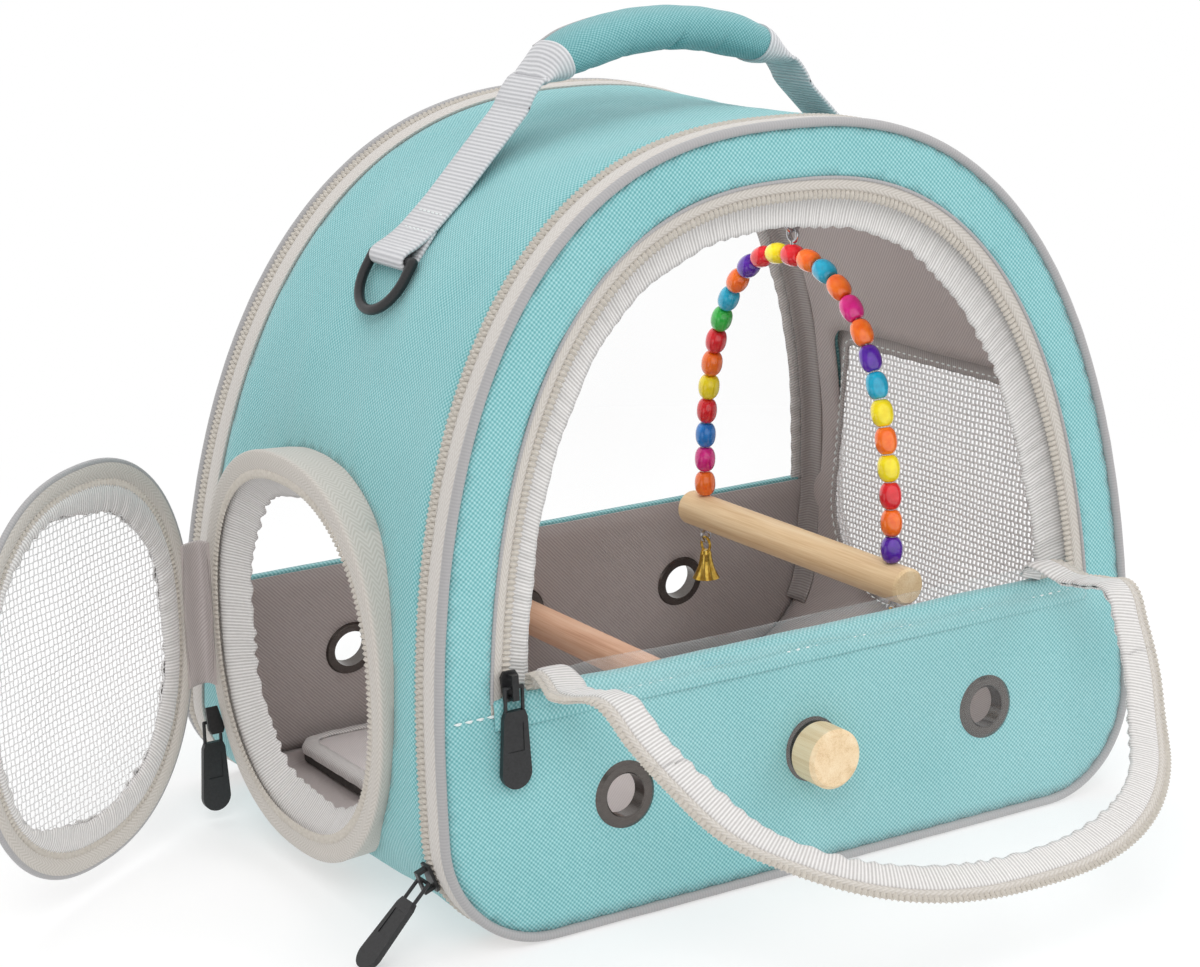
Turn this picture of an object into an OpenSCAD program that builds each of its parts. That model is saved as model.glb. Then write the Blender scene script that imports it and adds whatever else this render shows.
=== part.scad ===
// Bird travel carrier: an arched, soft-sided cabin with a clear fold-down window flap, a zipped
// mesh side door, a standing perch through eyelets and a hanging bead swing.
// Rest position: window flap lowered, side door half open.
// Frame: X across the arch, Y from front to rear, Z up. Origin on the ground, mid width, mid base.

/* [Cabin] */
// Width across the arch
cabin_w = 320; // [270:1:380]
// Height of the arch above the ground
cabin_h = 284; // [245:1:330]
// Depth along the base, from front edge to rear edge
cabin_d = 232; // [200:1:280]
// Radius of the two bottom corners
corner_r = 44; // [36:1:56]
// Squareness of the arch: 2 is an ellipse, more is squarer
arch_power = 2.46; // [2.1:0.02:2.8]
// Backward lean of the front panel, degrees
front_lean = 3.4; // [0:0.1:6]
// Forward lean of the rear panel, degrees
rear_lean = 8.4; // [0:0.1:10]
// Thickness of the foam-backed cloth walls
wall_t = 3.5; // [2.5:0.1:5]
// Thickness of the lining cloth
lining_t = 0.8; // [0.5:0.1:1.5]

/* [Edges] */
// Diameter of the piping cord round each end
piping_d = 3.6; // [2.5:0.1:5]
// Width of the woven band behind the piping
band_w = 8.5; // [6:0.5:12]
// Width of the closed zip chain round each end
chain_w = 6; // [4:0.5:8]
// How far the cloth walls sit inside the edge bands
cloth_inset = 1.2; // [0.8:0.1:2]

/* [Front window] */
// Width of the cloth arch round the window
window_margin = 22; // [16:1:32]
// Height of the top edge of the lower front panel
hem_z = 92; // [75:1:110]
// Depth of the stitched hem fold
hem_w = 9; // [6:1:14]
// Width of the zip tape round the window
window_tape_w = 5; // [2:0.5:6]
// Width of the zip coil round the window
coil_w = 2.4; // [2:0.1:4]
// Width of the gathered binding inside the window
window_binding_w = 15; // [8:1:18]

/* [Window flap] */
// Clearance between the closed flap and the window coil
flap_gap = 0.6; // [0.3:0.1:1.5]
// Height of the flap's fold above the lower panel
fold_rise = 3; // [2.5:0.5:8]
// Width of the flap's tape, coil and binding together
flap_edging_w = 15; // [10:1:20]
// Thickness of the flap's edging
flap_edging_t = 2.4; // [1.5:0.1:3]
// Thickness of the clear film
film_t = 0.6; // [0.4:0.1:1]
// Share of the flap's length in its lower stretch
flap_lower_share = 0.30; // [0.25:0.01:0.35]
// Share of the flap's length in its middle stretch
flap_middle_share = 0.36; // [0.3:0.01:0.4]
// Turn of the lower stretch from closed to lowered, degrees
flap_turn_1 = 86; // [60:1:100]
// Turn of the middle stretch against the lower one, degrees
flap_turn_2 = 51; // [0:1:60]
// Turn of the tip against the middle stretch, degrees
flap_turn_3 = -18; // [-30:1:20]

/* [Side door] */
// Half width of the door opening's rim
door_half_w = 74; // [60:1:80]
// Half height of the door opening's rim
door_half_h = 78; // [60:1:84]
// Height of the centre of the door
door_z = 87; // [80:1:95]
// Place of the centre of the door along the depth
door_y = -4; // [-10:1:4]
// Squareness of the door's oval
door_power = 2.3; // [2:0.05:3]
// Width of the tape on the rim and on the door
door_tape_w = 8; // [5:0.5:10]
// Width of the gathered binding on the rim and on the door
door_binding_w = 11; // [8:0.5:14]
// How far the rim stands out past the widest part of the arch
rim_standoff = 4; // [2:0.5:6]
// Opening of the door in the rest position, degrees
door_open = 55; // [0:1:100]
// Height of the cloth hinge strip
hinge_strip_h = 58; // [40:1:80]

/* [Side net] */
// Rear edge of the net opening, at the height of its middle
net_rear = 76; // [60:1:80]
// Front edge of the net opening
net_front = -84; // [-88:1:-60]
// Bottom of the net opening
net_bottom = 36; // [32:1:60]
// Top of the net opening
net_top = 166; // [140:1:180]
// Radius of the bottom corners of the net opening
net_corner_r = 48; // [20:1:60]
// Width of the binding round the net
net_binding_w = 9; // [6:0.5:14]
// Gaps along one side of each net
net_gaps = 16; // [10:1:17]
// Thickness of the net cords
net_t = 0.8; // [0.6:0.1:1.2]

/* [Eyelets and perch] */
// Height of the eyelets
eyelet_z = 47.6; // [40:0.1:60]
// Distance from the middle eyelet to each outer one
eyelet_pitch = 84; // [60:1:95]
// Bore radius of an eyelet
eyelet_bore_r = 8; // [6:0.1:10]
// Outside radius of an eyelet's flange
eyelet_flange_r = 12.8; // [11:0.1:16]
// Thickness of an eyelet's flange
eyelet_flange_t = 1.6; // [1:0.1:2.5]
// Radius of the perch rod
perch_r = 7.2; // [5:0.1:7.4]
// Radius of the perch's end caps
perch_cap_r = 11.7; // [10:0.1:14]
// Thickness of the perch's end caps
perch_cap_t = 13; // [8:0.5:18]

/* [Handle and straps] */
// Half length of the grip between its ends
grip_half_l = 57; // [45:1:70]
// Height of the ends of the grip
grip_end_z = 297; // [292:1:310]
// Rise of the middle of the grip over its ends
grip_rise = 14; // [8:0.5:20]
// Width of the grip
grip_w = 30; // [24:1:36]
// Thickness of the grip
grip_t = 17; // [12:0.5:22]
// Width of the webbing
webbing_w = 25; // [20:1:30]
// Thickness of the webbing
webbing_t = 1.6; // [1:0.1:2.5]
// Distance from the middle to each D-ring's bar
ring_x = 114; // [100:1:125]
// Radius of the D-ring's wire
ring_wire_r = 2; // [1.5:0.1:2.5]
// Length of the D-ring's straight legs
ring_leg = 6; // [3:0.5:10]

/* [Bead swing] */
// Distance of the swing from the middle of the cabin
swing_x = 70; // [50:1:85]
// Place of the middle of the swing along the depth
swing_y = -5; // [-12:1:0]
// Height of the swing's dowel
dowel_z = 91.5; // [80:0.5:110]
// Length of the swing's dowel
dowel_l = 154; // [120:1:160]
// Radius of the swing's dowel
dowel_r = 7.5; // [5:0.1:9]
// Half width of the bead arch
bead_arch_half = 66; // [50:1:70]
// Drop from the top of the cabin to the crown of the bead arch
swing_drop = 70; // [60:1:100]
// Number of beads
bead_count = 27; // [15:2:31]
// Radius of a bead
bead_r = 4.4; // [3:0.1:5]
// Radius of the swing's wire
wire_r = 0.8; // [0.6:0.1:1.2]
// Radius of the mouth of a bell
bell_r = 6; // [5:0.1:8]
// Height of a bell
bell_h = 12.5; // [10:0.5:16]

/* [Floor] */
// Thickness of the base board
board_t = 3; // [2:0.5:5]
// Thickness of the floor mat
mat_t = 5; // [3:0.5:8]
// Width of the mat's binding
mat_binding_w = 7; // [5:0.5:10]

/* [Zip pulls] */
// Length of a slider
slider_l = 11; // [9:0.5:14]
// Width of a slider
slider_w = 7; // [6:0.5:9]
// Length of a pull's tab
pull_l = 29; // [20:1:36]
// Width of a pull's tab at its rounded end
pull_w = 12; // [8:0.5:14]
// Thickness of a pull's tab
pull_t = 2.2; // [1.5:0.1:3]

/* [Hidden] */

// Depths measured inwards from the plane of an end of the cabin
panel_depth = 1;
panel_back = panel_depth + wall_t;
lining_back = panel_back + lining_t;
band_depth = piping_d;
chain_depth = band_depth + band_w;
gusset_depth = chain_depth + chain_w;
// Insets measured inwards from the outside of the arch
band_inset = 0.4;
chain_inset = 0.2;
lining_inset = cloth_inset + wall_t;
cabin_inset = lining_inset + lining_t;
// Height of the lining's underside, just clear of the edge bands where they cross the ground
lining_lift = max(wall_t, piping_d) + 0.2;
// Steps in the curves
corner_steps = 7;
arch_steps = 22;
oval_steps = 56;
big = 2 * (cabin_w + cabin_h + cabin_d);

// ---- outlines ----

// Half of the arch: a corner arc, then a quarter of a superellipse up to the crown
function arch_side(w, h, r) = concat(
  [for (i = [0:corner_steps]) let (a = 90 * i / corner_steps)
    [w / 2 - r + r * sin(a), r - r * cos(a)]],
  [for (i = [1:arch_steps]) let (a = 90 * i / arch_steps)
    [w / 2 * pow(max(cos(a), 0), 2 / arch_power), r + (h - r) * pow(sin(a), 2 / arch_power)]]
);
function mirrored(points) = [for (i = [len(points) - 1:-1:0]) [-points[i][0], points[i][1]]];
function arch_points(inset, lift) =
  let (side = arch_side(cabin_w - 2 * inset, cabin_h - inset - lift, max(corner_r - inset, 4)))
  [for (p = concat(side, [for (q = mirrored(side)) if (q[0] < -0.01) q])) [p[0], p[1] + lift]];
// Height of the arch over a distance from the middle, and its slope there in degrees
function arch_z(x, inset = 0) =
  let (top = cabin_h - inset, spring = corner_r, share = abs(x) / (cabin_w / 2 - inset))
  spring + (top - spring) * pow(1 - pow(share, arch_power), 1 / arch_power);
function arch_slope(x, inset = 0) =
  atan((arch_z(x - 0.5, inset) - arch_z(x + 0.5, inset)));
// Half width of the arch at a height above the corners
function arch_x(z, inset = 0) =
  let (share = max(z - corner_r, 0) / (cabin_h - inset - corner_r))
  (cabin_w / 2 - inset) * pow(1 - pow(share, arch_power), 1 / arch_power);

module arch(inset, lift) polygon(arch_points(inset, lift));
module arch_ring(outer, inner, outer_lift, inner_lift) difference() {
  arch(outer, outer_lift);
  arch(inner, inner_lift);
}

// Oval of the door and its rim, drawn with Y across and Z up
function oval_points(shrink) = [
  for (i = [0:oval_steps - 1]) let (a = 360 * i / oval_steps, c = cos(a), s = sin(a))
    [door_y + (door_half_w - shrink) * sign(c) * pow(abs(c), 2 / door_power),
     door_z + (door_half_h - shrink) * sign(s) * pow(abs(s), 2 / door_power)]
];
module oval(shrink) polygon(oval_points(shrink));
module oval_ring(outer, inner) difference() {
  oval(outer);
  oval(inner);
}

// Outline of the net opening: deep rounded corners below, small ones above
function corner_points(cx, cy, r, from) = [
  for (i = [0:6]) let (a = from + 15 * i) [cx + r * cos(a), cy + r * sin(a)]
];
function net_points(shrink) =
  let (r = net_corner_r - shrink, top_r = 12 - shrink, mid_z = (net_top + net_bottom) / 2,
       low_y = net_rear + (mid_z - net_bottom - net_corner_r) * tan(rear_lean),
       high_y = net_rear + (mid_z - net_top + 12) * tan(rear_lean))
  concat(
    corner_points(low_y - net_corner_r, net_bottom + net_corner_r, r, -90),
    corner_points(high_y - 12, net_top - 12, top_r, 0),
    corner_points(net_front + 12, net_top - 12, top_r, 90),
    corner_points(net_front + net_corner_r, net_bottom + net_corner_r, r, 180)
  );
module net_outline(shrink) polygon(net_points(shrink));

// ---- placing ----

// Draws a flat outline as a wall running from y0 to y1, with its Y turned up
module along_y(y0, y1) translate([0, y1, 0]) rotate([90, 0, 0]) linear_extrude(y1 - y0) children();
// Draws a flat outline of Y and Z as a plate from x0 to x1
module along_x(x0, x1) translate([x0, 0, 0]) rotate([90, 0, 90]) linear_extrude(x1 - x0) children();
// Frame of an end panel: X across, Y inwards from the end plane, Z up along it
module front_frame() translate([0, -cabin_d / 2, 0]) rotate([-front_lean, 0, 0]) children();
module rear_frame() translate([0, cabin_d / 2, 0]) rotate([0, 0, 180]) rotate([-rear_lean, 0, 0])
  children();
module front_slab(d0, d1) front_frame() translate([-big / 2, d0, -big / 4]) cube([big, d1 - d0, big]);
module rear_slab(d0, d1) rear_frame() translate([-big / 2, d0, -big / 4]) cube([big, d1 - d0, big]);
// Part of a tunnel with the given outline that lies between two depths from an end
module front_layer(d0, d1) intersection() {
  along_y(-cabin_d / 2 - 5, 0) children();
  front_slab(d0, d1);
}
module rear_layer(d0, d1) intersection() {
  along_y(0, cabin_d / 2 + 5) children();
  rear_slab(d0, d1);
}
// Part of a tunnel that lies between the two ends, each kept clear by a depth
module between_ends(depth) intersection() {
  along_y(-cabin_d / 2 - 5, cabin_d / 2 + 5) children();
  front_slab(depth, big / 2);
  rear_slab(depth, big / 2);
}
module above(z) translate([-big / 2, z]) square([big, big]);
module below(z) translate([-big / 2, z - big]) square([big, big]);

// Tube of a round section swept along a closed or open path of points
function unit(v) = v / norm(v);
function path_dir(path, i, closed) =
  let (n = len(path), a = closed ? (i + n - 1) % n : max(i - 1, 0),
       b = closed ? (i + 1) % n : min(i + 1, n - 1))
  unit(path[b] - path[a]);
module tube(path, side, ru, rv, sides, closed) {
  n = len(path);
  points = [
    for (i = [0:n - 1])
      let (d = path_dir(path, i, closed), v = unit(side - (side * d) * d), u = cross(d, v))
      for (k = [0:sides - 1]) let (a = 360 * (k + 0.5) / sides)
        path[i] + u * ru * cos(a) + v * rv * sin(a)
  ];
  turns = closed ? n : n - 1;
  walls = [
    for (i = [0:turns - 1], k = [0:sides - 1])
      let (a = i * sides + k, b = i * sides + (k + 1) % sides,
           c = ((i + 1) % n) * sides + (k + 1) % sides, d = ((i + 1) % n) * sides + k)
      each [[a, b, c], [a, c, d]]
  ];
  caps = closed ? [] : [
    [for (k = [sides - 1:-1:0]) k],
    [for (k = [0:sides - 1]) (n - 1) * sides + k]
  ];
  polyhedron(points = points, faces = concat(walls, caps), convexity = 6);
}

// ---- cabin ----

module door_cut() along_x(-cabin_w, -cabin_w / 4) oval(door_tape_w);
module net_cut() along_x(cabin_w / 4, cabin_w) net_outline(0);

module gusset_shell() color("#7bc9c4") difference() {
  between_ends(gusset_depth) arch_ring(cloth_inset, lining_inset, 0, wall_t);
  door_cut();
  net_cut();
}

// Outline of a face of the lining: the wall's own curve, with its floor at a given height
module lining_outline(inset, floor_z) intersection() {
  arch(inset, inset - cloth_inset);
  arch(inset, floor_z);
}
module cabin_outline() lining_outline(cabin_inset, lining_lift + lining_t);
module gusset_lining() color("#857d7a") difference() {
  between_ends(lining_back) difference() {
    lining_outline(lining_inset, lining_lift);
    cabin_outline();
  }
  door_cut();
  net_cut();
}

module window_hole() intersection() {
  arch(window_margin, window_margin);
  above(hem_z);
}

// Eyelets are set square to their leaning panel, each bore level with the perch at its middle
eyelet_barrel_r = eyelet_bore_r + 0.8;
eyelet_mid_depth = (panel_depth - eyelet_flange_t + 0.5 + lining_back + 1) / 2;
function eyelet_up(lean) = (eyelet_z + eyelet_mid_depth * sin(lean)) / cos(lean);
module in_eyelet_row(lean) for (i = [-1:1])
  translate([i * eyelet_pitch, 0, eyelet_up(lean)]) rotate([-90, 0, 0]) children();
module front_eyelet_places() front_frame() in_eyelet_row(front_lean) children();
module rear_eyelet_places() rear_frame() in_eyelet_row(rear_lean) children();
module eyelet_hole() translate([0, 0, -5]) cylinder(h = 20, r = eyelet_barrel_r + 0.1, $fn = 48);

// Seam that carries the hem's line out to the piping, between arched frame and lower panel
panel_seam_w = 0.2;
module panel_seam() intersection() {
  above(hem_z);
  below(hem_z + panel_seam_w);
}
module front_panel() color("#7bc9c4") difference() {
  union() {
    front_layer(panel_depth, panel_back) difference() {
      arch(piping_d, piping_d);
      window_hole();
      panel_seam();
    }
    // the folded and stitched top edge stands a little proud
    front_layer(panel_depth - 0.6, panel_depth) intersection() {
      arch(window_margin, window_margin);
      above(hem_z - hem_w);
      below(hem_z);
    }
  }
  front_eyelet_places() eyelet_hole();
}

module front_panel_lining() color("#857d7a") difference() {
  front_layer(panel_back, lining_back) difference() {
    arch(piping_d, piping_d);
    window_hole();
  }
  front_eyelet_places() eyelet_hole();
}

rear_hem_z = 88;
module rear_panel() color("#7bc9c4") difference() {
  rear_layer(panel_depth, panel_back) intersection() {
    arch(piping_d, piping_d);
    below(rear_hem_z);
  }
  rear_eyelet_places() eyelet_hole();
}

module rear_panel_lining() color("#857d7a") difference() {
  rear_layer(panel_back, lining_back) intersection() {
    arch(piping_d, piping_d);
    below(rear_hem_z - 1);
  }
  rear_eyelet_places() eyelet_hole();
}

rear_binding_w = 9;
module rear_window_film() color("#e8f2f4", 0.35)
  rear_layer(panel_depth + 1.4, panel_depth + 1.4 + film_t) intersection() {
    arch(piping_d + rear_binding_w, piping_d + rear_binding_w);
    above(rear_hem_z);
  }

module rear_window_binding() color("#bdb9b5") rear_layer(panel_depth, panel_back) intersection() {
  arch_ring(piping_d, piping_d + rear_binding_w, piping_d, piping_d + rear_binding_w);
  above(rear_hem_z);
}

// Piping: a round cord along the arch, flattened where it stands on the ground
function cord_path(lean, face) = [
  for (p = arch_points(piping_d / 2, piping_d / 2))
    [p[0], face * (cabin_d / 2 - p[1] * tan(lean) - piping_d / 2), p[1]]
];
module piping(lean, face) difference() {
  tube(cord_path(lean, face), [0, face, 0], piping_d / 2, piping_d / 2, 8, true);
  translate([-big / 2, -big / 2, -big]) cube([big, big, big + 0.12]);
}
module front_piping() color("#cfcfd2") piping(front_lean, -1);
module rear_piping() color("#cfcfd2") piping(rear_lean, 1);

module front_band() color("#d9d3cb") front_layer(band_depth, chain_depth)
  arch_ring(band_inset, piping_d, 0, piping_d);
module rear_band() color("#d9d3cb") rear_layer(band_depth + chain_w, gusset_depth)
  arch_ring(band_inset, piping_d, 0, piping_d);

// Closed zip chain: two rows of coil with a groove between them
module coil_row() arch_ring(chain_inset, piping_d, 0, piping_d);
module coil_groove() arch_ring(chain_inset + 0.9, piping_d, 0.9, piping_d);
module front_zip_chain() color("#c9c3b8") {
  front_layer(chain_depth, chain_depth + chain_w * 0.42) coil_row();
  front_layer(chain_depth + chain_w * 0.42, chain_depth + chain_w * 0.58) coil_groove();
  front_layer(chain_depth + chain_w * 0.58, gusset_depth) coil_row();
}
module rear_zip_chain() color("#c9c3b8") {
  rear_layer(band_depth, band_depth + chain_w * 0.42) coil_row();
  rear_layer(band_depth + chain_w * 0.42, band_depth + chain_w * 0.58) coil_groove();
  rear_layer(band_depth + chain_w * 0.58, band_depth + chain_w) coil_row();
}

// ---- front window ----

coil_inset = window_margin + window_tape_w;
flap_inset = coil_inset + coil_w + flap_gap;

module window_zip_tape() color("#d9d3cb") front_layer(panel_depth + 0.6, panel_depth + 2) intersection() {
  arch_ring(window_margin, coil_inset, window_margin, coil_inset);
  above(hem_z);
}
module window_zip_coil() color("#c9c3b8") front_layer(panel_depth, panel_depth + 2.6) intersection() {
  arch_ring(coil_inset, coil_inset + coil_w, coil_inset, coil_inset + coil_w);
  above(hem_z);
}
module window_binding() color("#bdb9b5") front_layer(lining_back, lining_back + 3) intersection() {
  arch_ring(window_margin - 3, window_margin + 4 + window_binding_w,
            window_margin - 3, window_margin + 4 + window_binding_w);
  above(hem_z + 1);
}

// Eyelet: a rolled flange outside, a barrel through the panel and a washer inside
module eyelet() rotate_extrude($fn = 64) {
  flange_in = panel_depth;
  polygon([
    [eyelet_bore_r, flange_in - eyelet_flange_t + 0.5],
    [eyelet_bore_r + 0.5, flange_in - eyelet_flange_t],
    [eyelet_flange_r - 1.6, flange_in - eyelet_flange_t],
    [eyelet_flange_r, flange_in - 0.5],
    [eyelet_flange_r, flange_in],
    [eyelet_barrel_r, flange_in],
    [eyelet_barrel_r, lining_back],
    [eyelet_flange_r - 0.8, lining_back],
    [eyelet_flange_r - 1.6, lining_back + 1],
    [eyelet_bore_r, lining_back + 1]
  ]);
}
module front_eyelets() color("#5c5754") front_eyelet_places() eyelet();
module rear_eyelets() color("#5c5754") rear_eyelet_places() eyelet();

// ---- window flap ----

fold_z = hem_z + fold_rise;
flap_top = cabin_h - flap_inset;
flap_l = flap_top - fold_z;
fold_2 = fold_z + flap_l * flap_lower_share;
fold_3 = fold_2 + flap_l * flap_middle_share;
fold_depth = panel_depth + 1.4;
fold_gap = 1;
flap_corner_cut = 9;
flap_neck_h = 12;
flap_shoulder_h = 22;

// The flap's outline when it is closed, with a narrow neck at the fold that clears the pull
function flap_side(shrink) =
  let (half = arch_x(fold_z, flap_inset) - flap_corner_cut - shrink)
  [[half, fold_z - 1], [half, fold_z + flap_neck_h], [cabin_w / 2, fold_z + flap_neck_h + flap_shoulder_h],
   [cabin_w / 2, cabin_h]];
module flap_outline(shrink) intersection() {
  arch(flap_inset + shrink, flap_inset + shrink);
  above(fold_z);
  polygon(concat(flap_side(shrink), mirrored(flap_side(shrink))));
}
module flap_film(z0, z1) color("#e8f2f4", 0.35) in_front_plane(film_t) intersection() {
  flap_outline(flap_edging_w);
  above(z0);
  below(z1);
}
module flap_edging(z0, z1) color("#bdb9b5") in_front_plane(flap_edging_t) intersection() {
  difference() {
    flap_outline(0);
    flap_outline(flap_edging_w);
  }
  above(z0);
  below(z1);
}
// Plate in the plane of the closed flap, inside front_frame
module in_front_plane(t) translate([0, fold_depth + t / 2, 0]) rotate([90, 0, 0])
  linear_extrude(t) children();
// Turns a stretch about one fold, forwards and down for a positive angle
module about_fold(z, turn) translate([0, fold_depth, z]) rotate([turn, 0, 0])
  translate([0, -fold_depth, -z]) children();
module lowered_1() front_frame() about_fold(fold_z, flap_turn_1) children();
module lowered_2() lowered_1() about_fold(fold_2, flap_turn_2) children();
module lowered_3() lowered_2() about_fold(fold_3, flap_turn_3) children();

module flap_film_lower() lowered_1() flap_film(fold_z + fold_gap, fold_2 - fold_gap);
module flap_film_middle() lowered_2() flap_film(fold_2 + fold_gap, fold_3 - fold_gap);
module flap_film_tip() lowered_3() flap_film(fold_3 + fold_gap, cabin_h);
module flap_edging_lower() lowered_1() flap_edging(fold_z + fold_gap, fold_2 - fold_gap);
module flap_edging_middle() lowered_2() flap_edging(fold_2 + fold_gap, fold_3 - fold_gap);
module flap_edging_tip() lowered_3() flap_edging(fold_3 + fold_gap, cabin_h);

// ---- side door ----

rim_x = cabin_w / 2 + rim_standoff;
door_gap = 1.2;
door_t = 2.4;
door_x = rim_x + door_gap;
// The hinge line lies just off the leaf's outer face, so the leaf folds back past its slider
hinge_off = 0.4;
hinge_x = -(door_x + door_t + hinge_off);
hinge_y = door_y + door_half_w + 4;

module arch_solid() along_y(-cabin_d / 2, cabin_d / 2) arch(cloth_inset, 0);

// Rim: a face tape, and a collar that runs back to the curved wall
module door_rim_tape() color("#d9d3cb") {
  along_x(-rim_x, -rim_x + 1.6) oval_ring(0, door_tape_w);
  difference() {
    along_x(-rim_x + 1.6, -rim_x + 36) oval_ring(0, 3.5);
    arch_solid();
  }
}
module door_rim_coil() color("#c9c3b8") along_x(-rim_x - 0.5, -rim_x + 1.6)
  oval_ring(door_tape_w, door_tape_w + coil_w);
module door_rim_binding() color("#bdb9b5") along_x(-rim_x + 1.6, -rim_x + 12)
  oval_ring(door_tape_w, door_tape_w + door_binding_w);

// Turns the closed door to its open rest position
module opened() translate([hinge_x, hinge_y, 0]) rotate([0, 0, -door_open])
  translate([-hinge_x, -hinge_y, 0]) children();
door_net_edge = door_tape_w + coil_w + door_binding_w;

module door_tape() color("#d9d3cb") opened() along_x(-door_x - door_t, -door_x) oval_ring(0, door_tape_w);
module door_coil() color("#c9c3b8") opened() along_x(-door_x - door_t, -door_x)
  oval_ring(door_tape_w, door_tape_w + coil_w);
module door_binding() color("#bdb9b5") opened() along_x(-door_x - door_t - 0.6, -door_x + 0.4)
  oval_ring(door_tape_w + coil_w, door_net_edge);
module door_net() color("#f0f0f0") opened()
  along_x(-door_x - (door_t + net_t) / 2, -door_x - (door_t - net_t) / 2) difference() {
    oval(door_net_edge);
    intersection() {
      oval(door_net_edge + net_rim);
      net_holes(door_y - door_half_w + door_net_edge, door_y + door_half_w - door_net_edge,
                door_z - door_half_h + door_net_edge, door_z + door_half_h - door_net_edge);
    }
  }
// Square gaps on a grid; the cords between them are kept whole
net_cord_w = 1;
net_rim = 1;
module net_holes(y0, y1, z0, z1) {
  dy = (y1 - y0) / net_gaps;
  dz = (z1 - z0) / net_gaps;
  for (i = [0:net_gaps - 1], j = [0:net_gaps - 1])
    translate([y0 + i * dy + net_cord_w / 2, z0 + j * dz + net_cord_w / 2])
      square([dy - net_cord_w, dz - net_cord_w]);
}
strip_from = door_y + door_half_w - door_tape_w + 0.5;
module door_hinge_strip() color("#8a8280")
  translate([-rim_x - 0.6, strip_from, door_z - hinge_strip_h / 2])
    cube([0.6, hinge_y - 1.6 - strip_from, hinge_strip_h]);

// ---- side net ----

net_x = cabin_w / 2 - 13;
net_rear_lag = 5;
module side_net() color("#f0f0f0") along_x(net_x, net_x + net_t) difference() {
  net_outline(net_binding_w);
  intersection() {
    net_outline(net_binding_w + net_rim);
    net_holes(net_front + net_binding_w, net_rear + net_rear_lag - net_binding_w,
              net_bottom + net_binding_w, net_top - net_binding_w);
  }
}
module side_net_binding() color("#9b9593") intersection() {
  along_x(net_x - 0.8, cabin_w / 2) difference() {
    net_outline(0);
    net_outline(net_binding_w);
  }
  along_y(-cabin_d / 2, cabin_d / 2) arch(cloth_inset - 0.5, 0);
}

// ---- floor ----

floor_z = cabin_inset;
mat_front = -cabin_d / 2 + lining_back + 5;
mat_rear = cabin_d / 2 - lining_back - 6;
mat_half_w = cabin_w / 2 - corner_r - 2;
function mat_points(shrink) =
  let (r = 14 - shrink)
  concat(
    corner_points(mat_half_w - 14, mat_front + 14, r, -90),
    corner_points(mat_half_w - 14, mat_rear - 14, r, 0),
    corner_points(-mat_half_w + 14, mat_rear - 14, r, 90),
    corner_points(-mat_half_w + 14, mat_front + 14, r, 180)
  );
module base_board() color("#4a4745") translate([0, 0, floor_z])
  linear_extrude(board_t) polygon(mat_points(1));
module floor_mat() color("#a39c99") translate([0, 0, floor_z + board_t])
  linear_extrude(mat_t) polygon(mat_points(mat_binding_w));
module floor_mat_binding() color("#bdb9b5") translate([0, 0, floor_z + board_t])
  linear_extrude(mat_t - 1) difference() {
    polygon(mat_points(0));
    polygon(mat_points(mat_binding_w));
  }

// ---- perch ----

perch_front = -cabin_d / 2 + eyelet_z * tan(front_lean) - 1.9;
perch_rear = cabin_d / 2 - eyelet_z * tan(rear_lean) + 2.9;
module perch_rod() color("#e2bd8a") translate([0, perch_front, eyelet_z]) rotate([-90, 0, 0])
  cylinder(h = perch_rear - perch_front, r = perch_r, $fn = 64);
module perch_cap() rotate_extrude($fn = 64) polygon([
  [0, 0], [perch_cap_r - 0.6, 0], [perch_cap_r, 0.6], [perch_cap_r, perch_cap_t - 1.4],
  [perch_cap_r - 1.4, perch_cap_t], [0, perch_cap_t]
]);
module perch_caps() color("#ecca98") {
  translate([0, perch_front, eyelet_z]) rotate([90, 0, 0]) perch_cap();
  translate([0, perch_rear, eyelet_z]) rotate([-90, 0, 0]) perch_cap();
}

// ---- handle, straps and rings ----

handle_y = cabin_h * (tan(front_lean) - tan(rear_lean)) / 2;
grip_arc_r = (grip_half_l * grip_half_l + grip_rise * grip_rise) / (2 * grip_rise);
grip_arc_z = grip_end_z + grip_rise - grip_arc_r;
grip_end_a = asin(grip_half_l / grip_arc_r);
end_binding_a = 5.5;
// Gaps that keep the bindings clear of the sleeve, and the webbing clear of the bindings
end_binding_gap_a = 0.25;
webbing_gap = 0.5;
handle_fold_z = cabin_h + 3;
handle_fold_x = grip_half_l + 7;

function grip_path(a0, a1, n) = [
  for (i = [0:n]) let (a = a0 + (a1 - a0) * i / n)
    [grip_arc_r * sin(a), handle_y, grip_arc_z + grip_arc_r * cos(a)]
];
module handle_grip() color("#7bc9c4")
  tube(grip_path(-grip_end_a + end_binding_a, grip_end_a - end_binding_a, 20), [0, 1, 0],
       grip_t / 2, grip_w / 2, 12, false);
module handle_end_bindings() color("#c9cacc") for (s = [-1, 1])
  tube(grip_path(s * (grip_end_a - end_binding_a + end_binding_gap_a), s * grip_end_a, 4), [0, s, 0],
       grip_t / 2 + 0.3, grip_w / 2 + 0.3, 12, false);

// Flat strip of webbing along a path in X and Z
function strip_normal(path, i) =
  let (d = unit(path[min(i + 1, len(path) - 1)] - path[max(i - 1, 0)])) [-d[1], d[0]];
function strip_points(path, t) = concat(
  [for (i = [0:len(path) - 1]) path[i] + strip_normal(path, i) * t / 2],
  [for (i = [len(path) - 1:-1:0]) path[i] - strip_normal(path, i) * t / 2]
);
module strip(path, t, w) translate([0, handle_y + w / 2, 0]) rotate([90, 0, 0])
  linear_extrude(w) polygon(strip_points(path, t));

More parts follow.
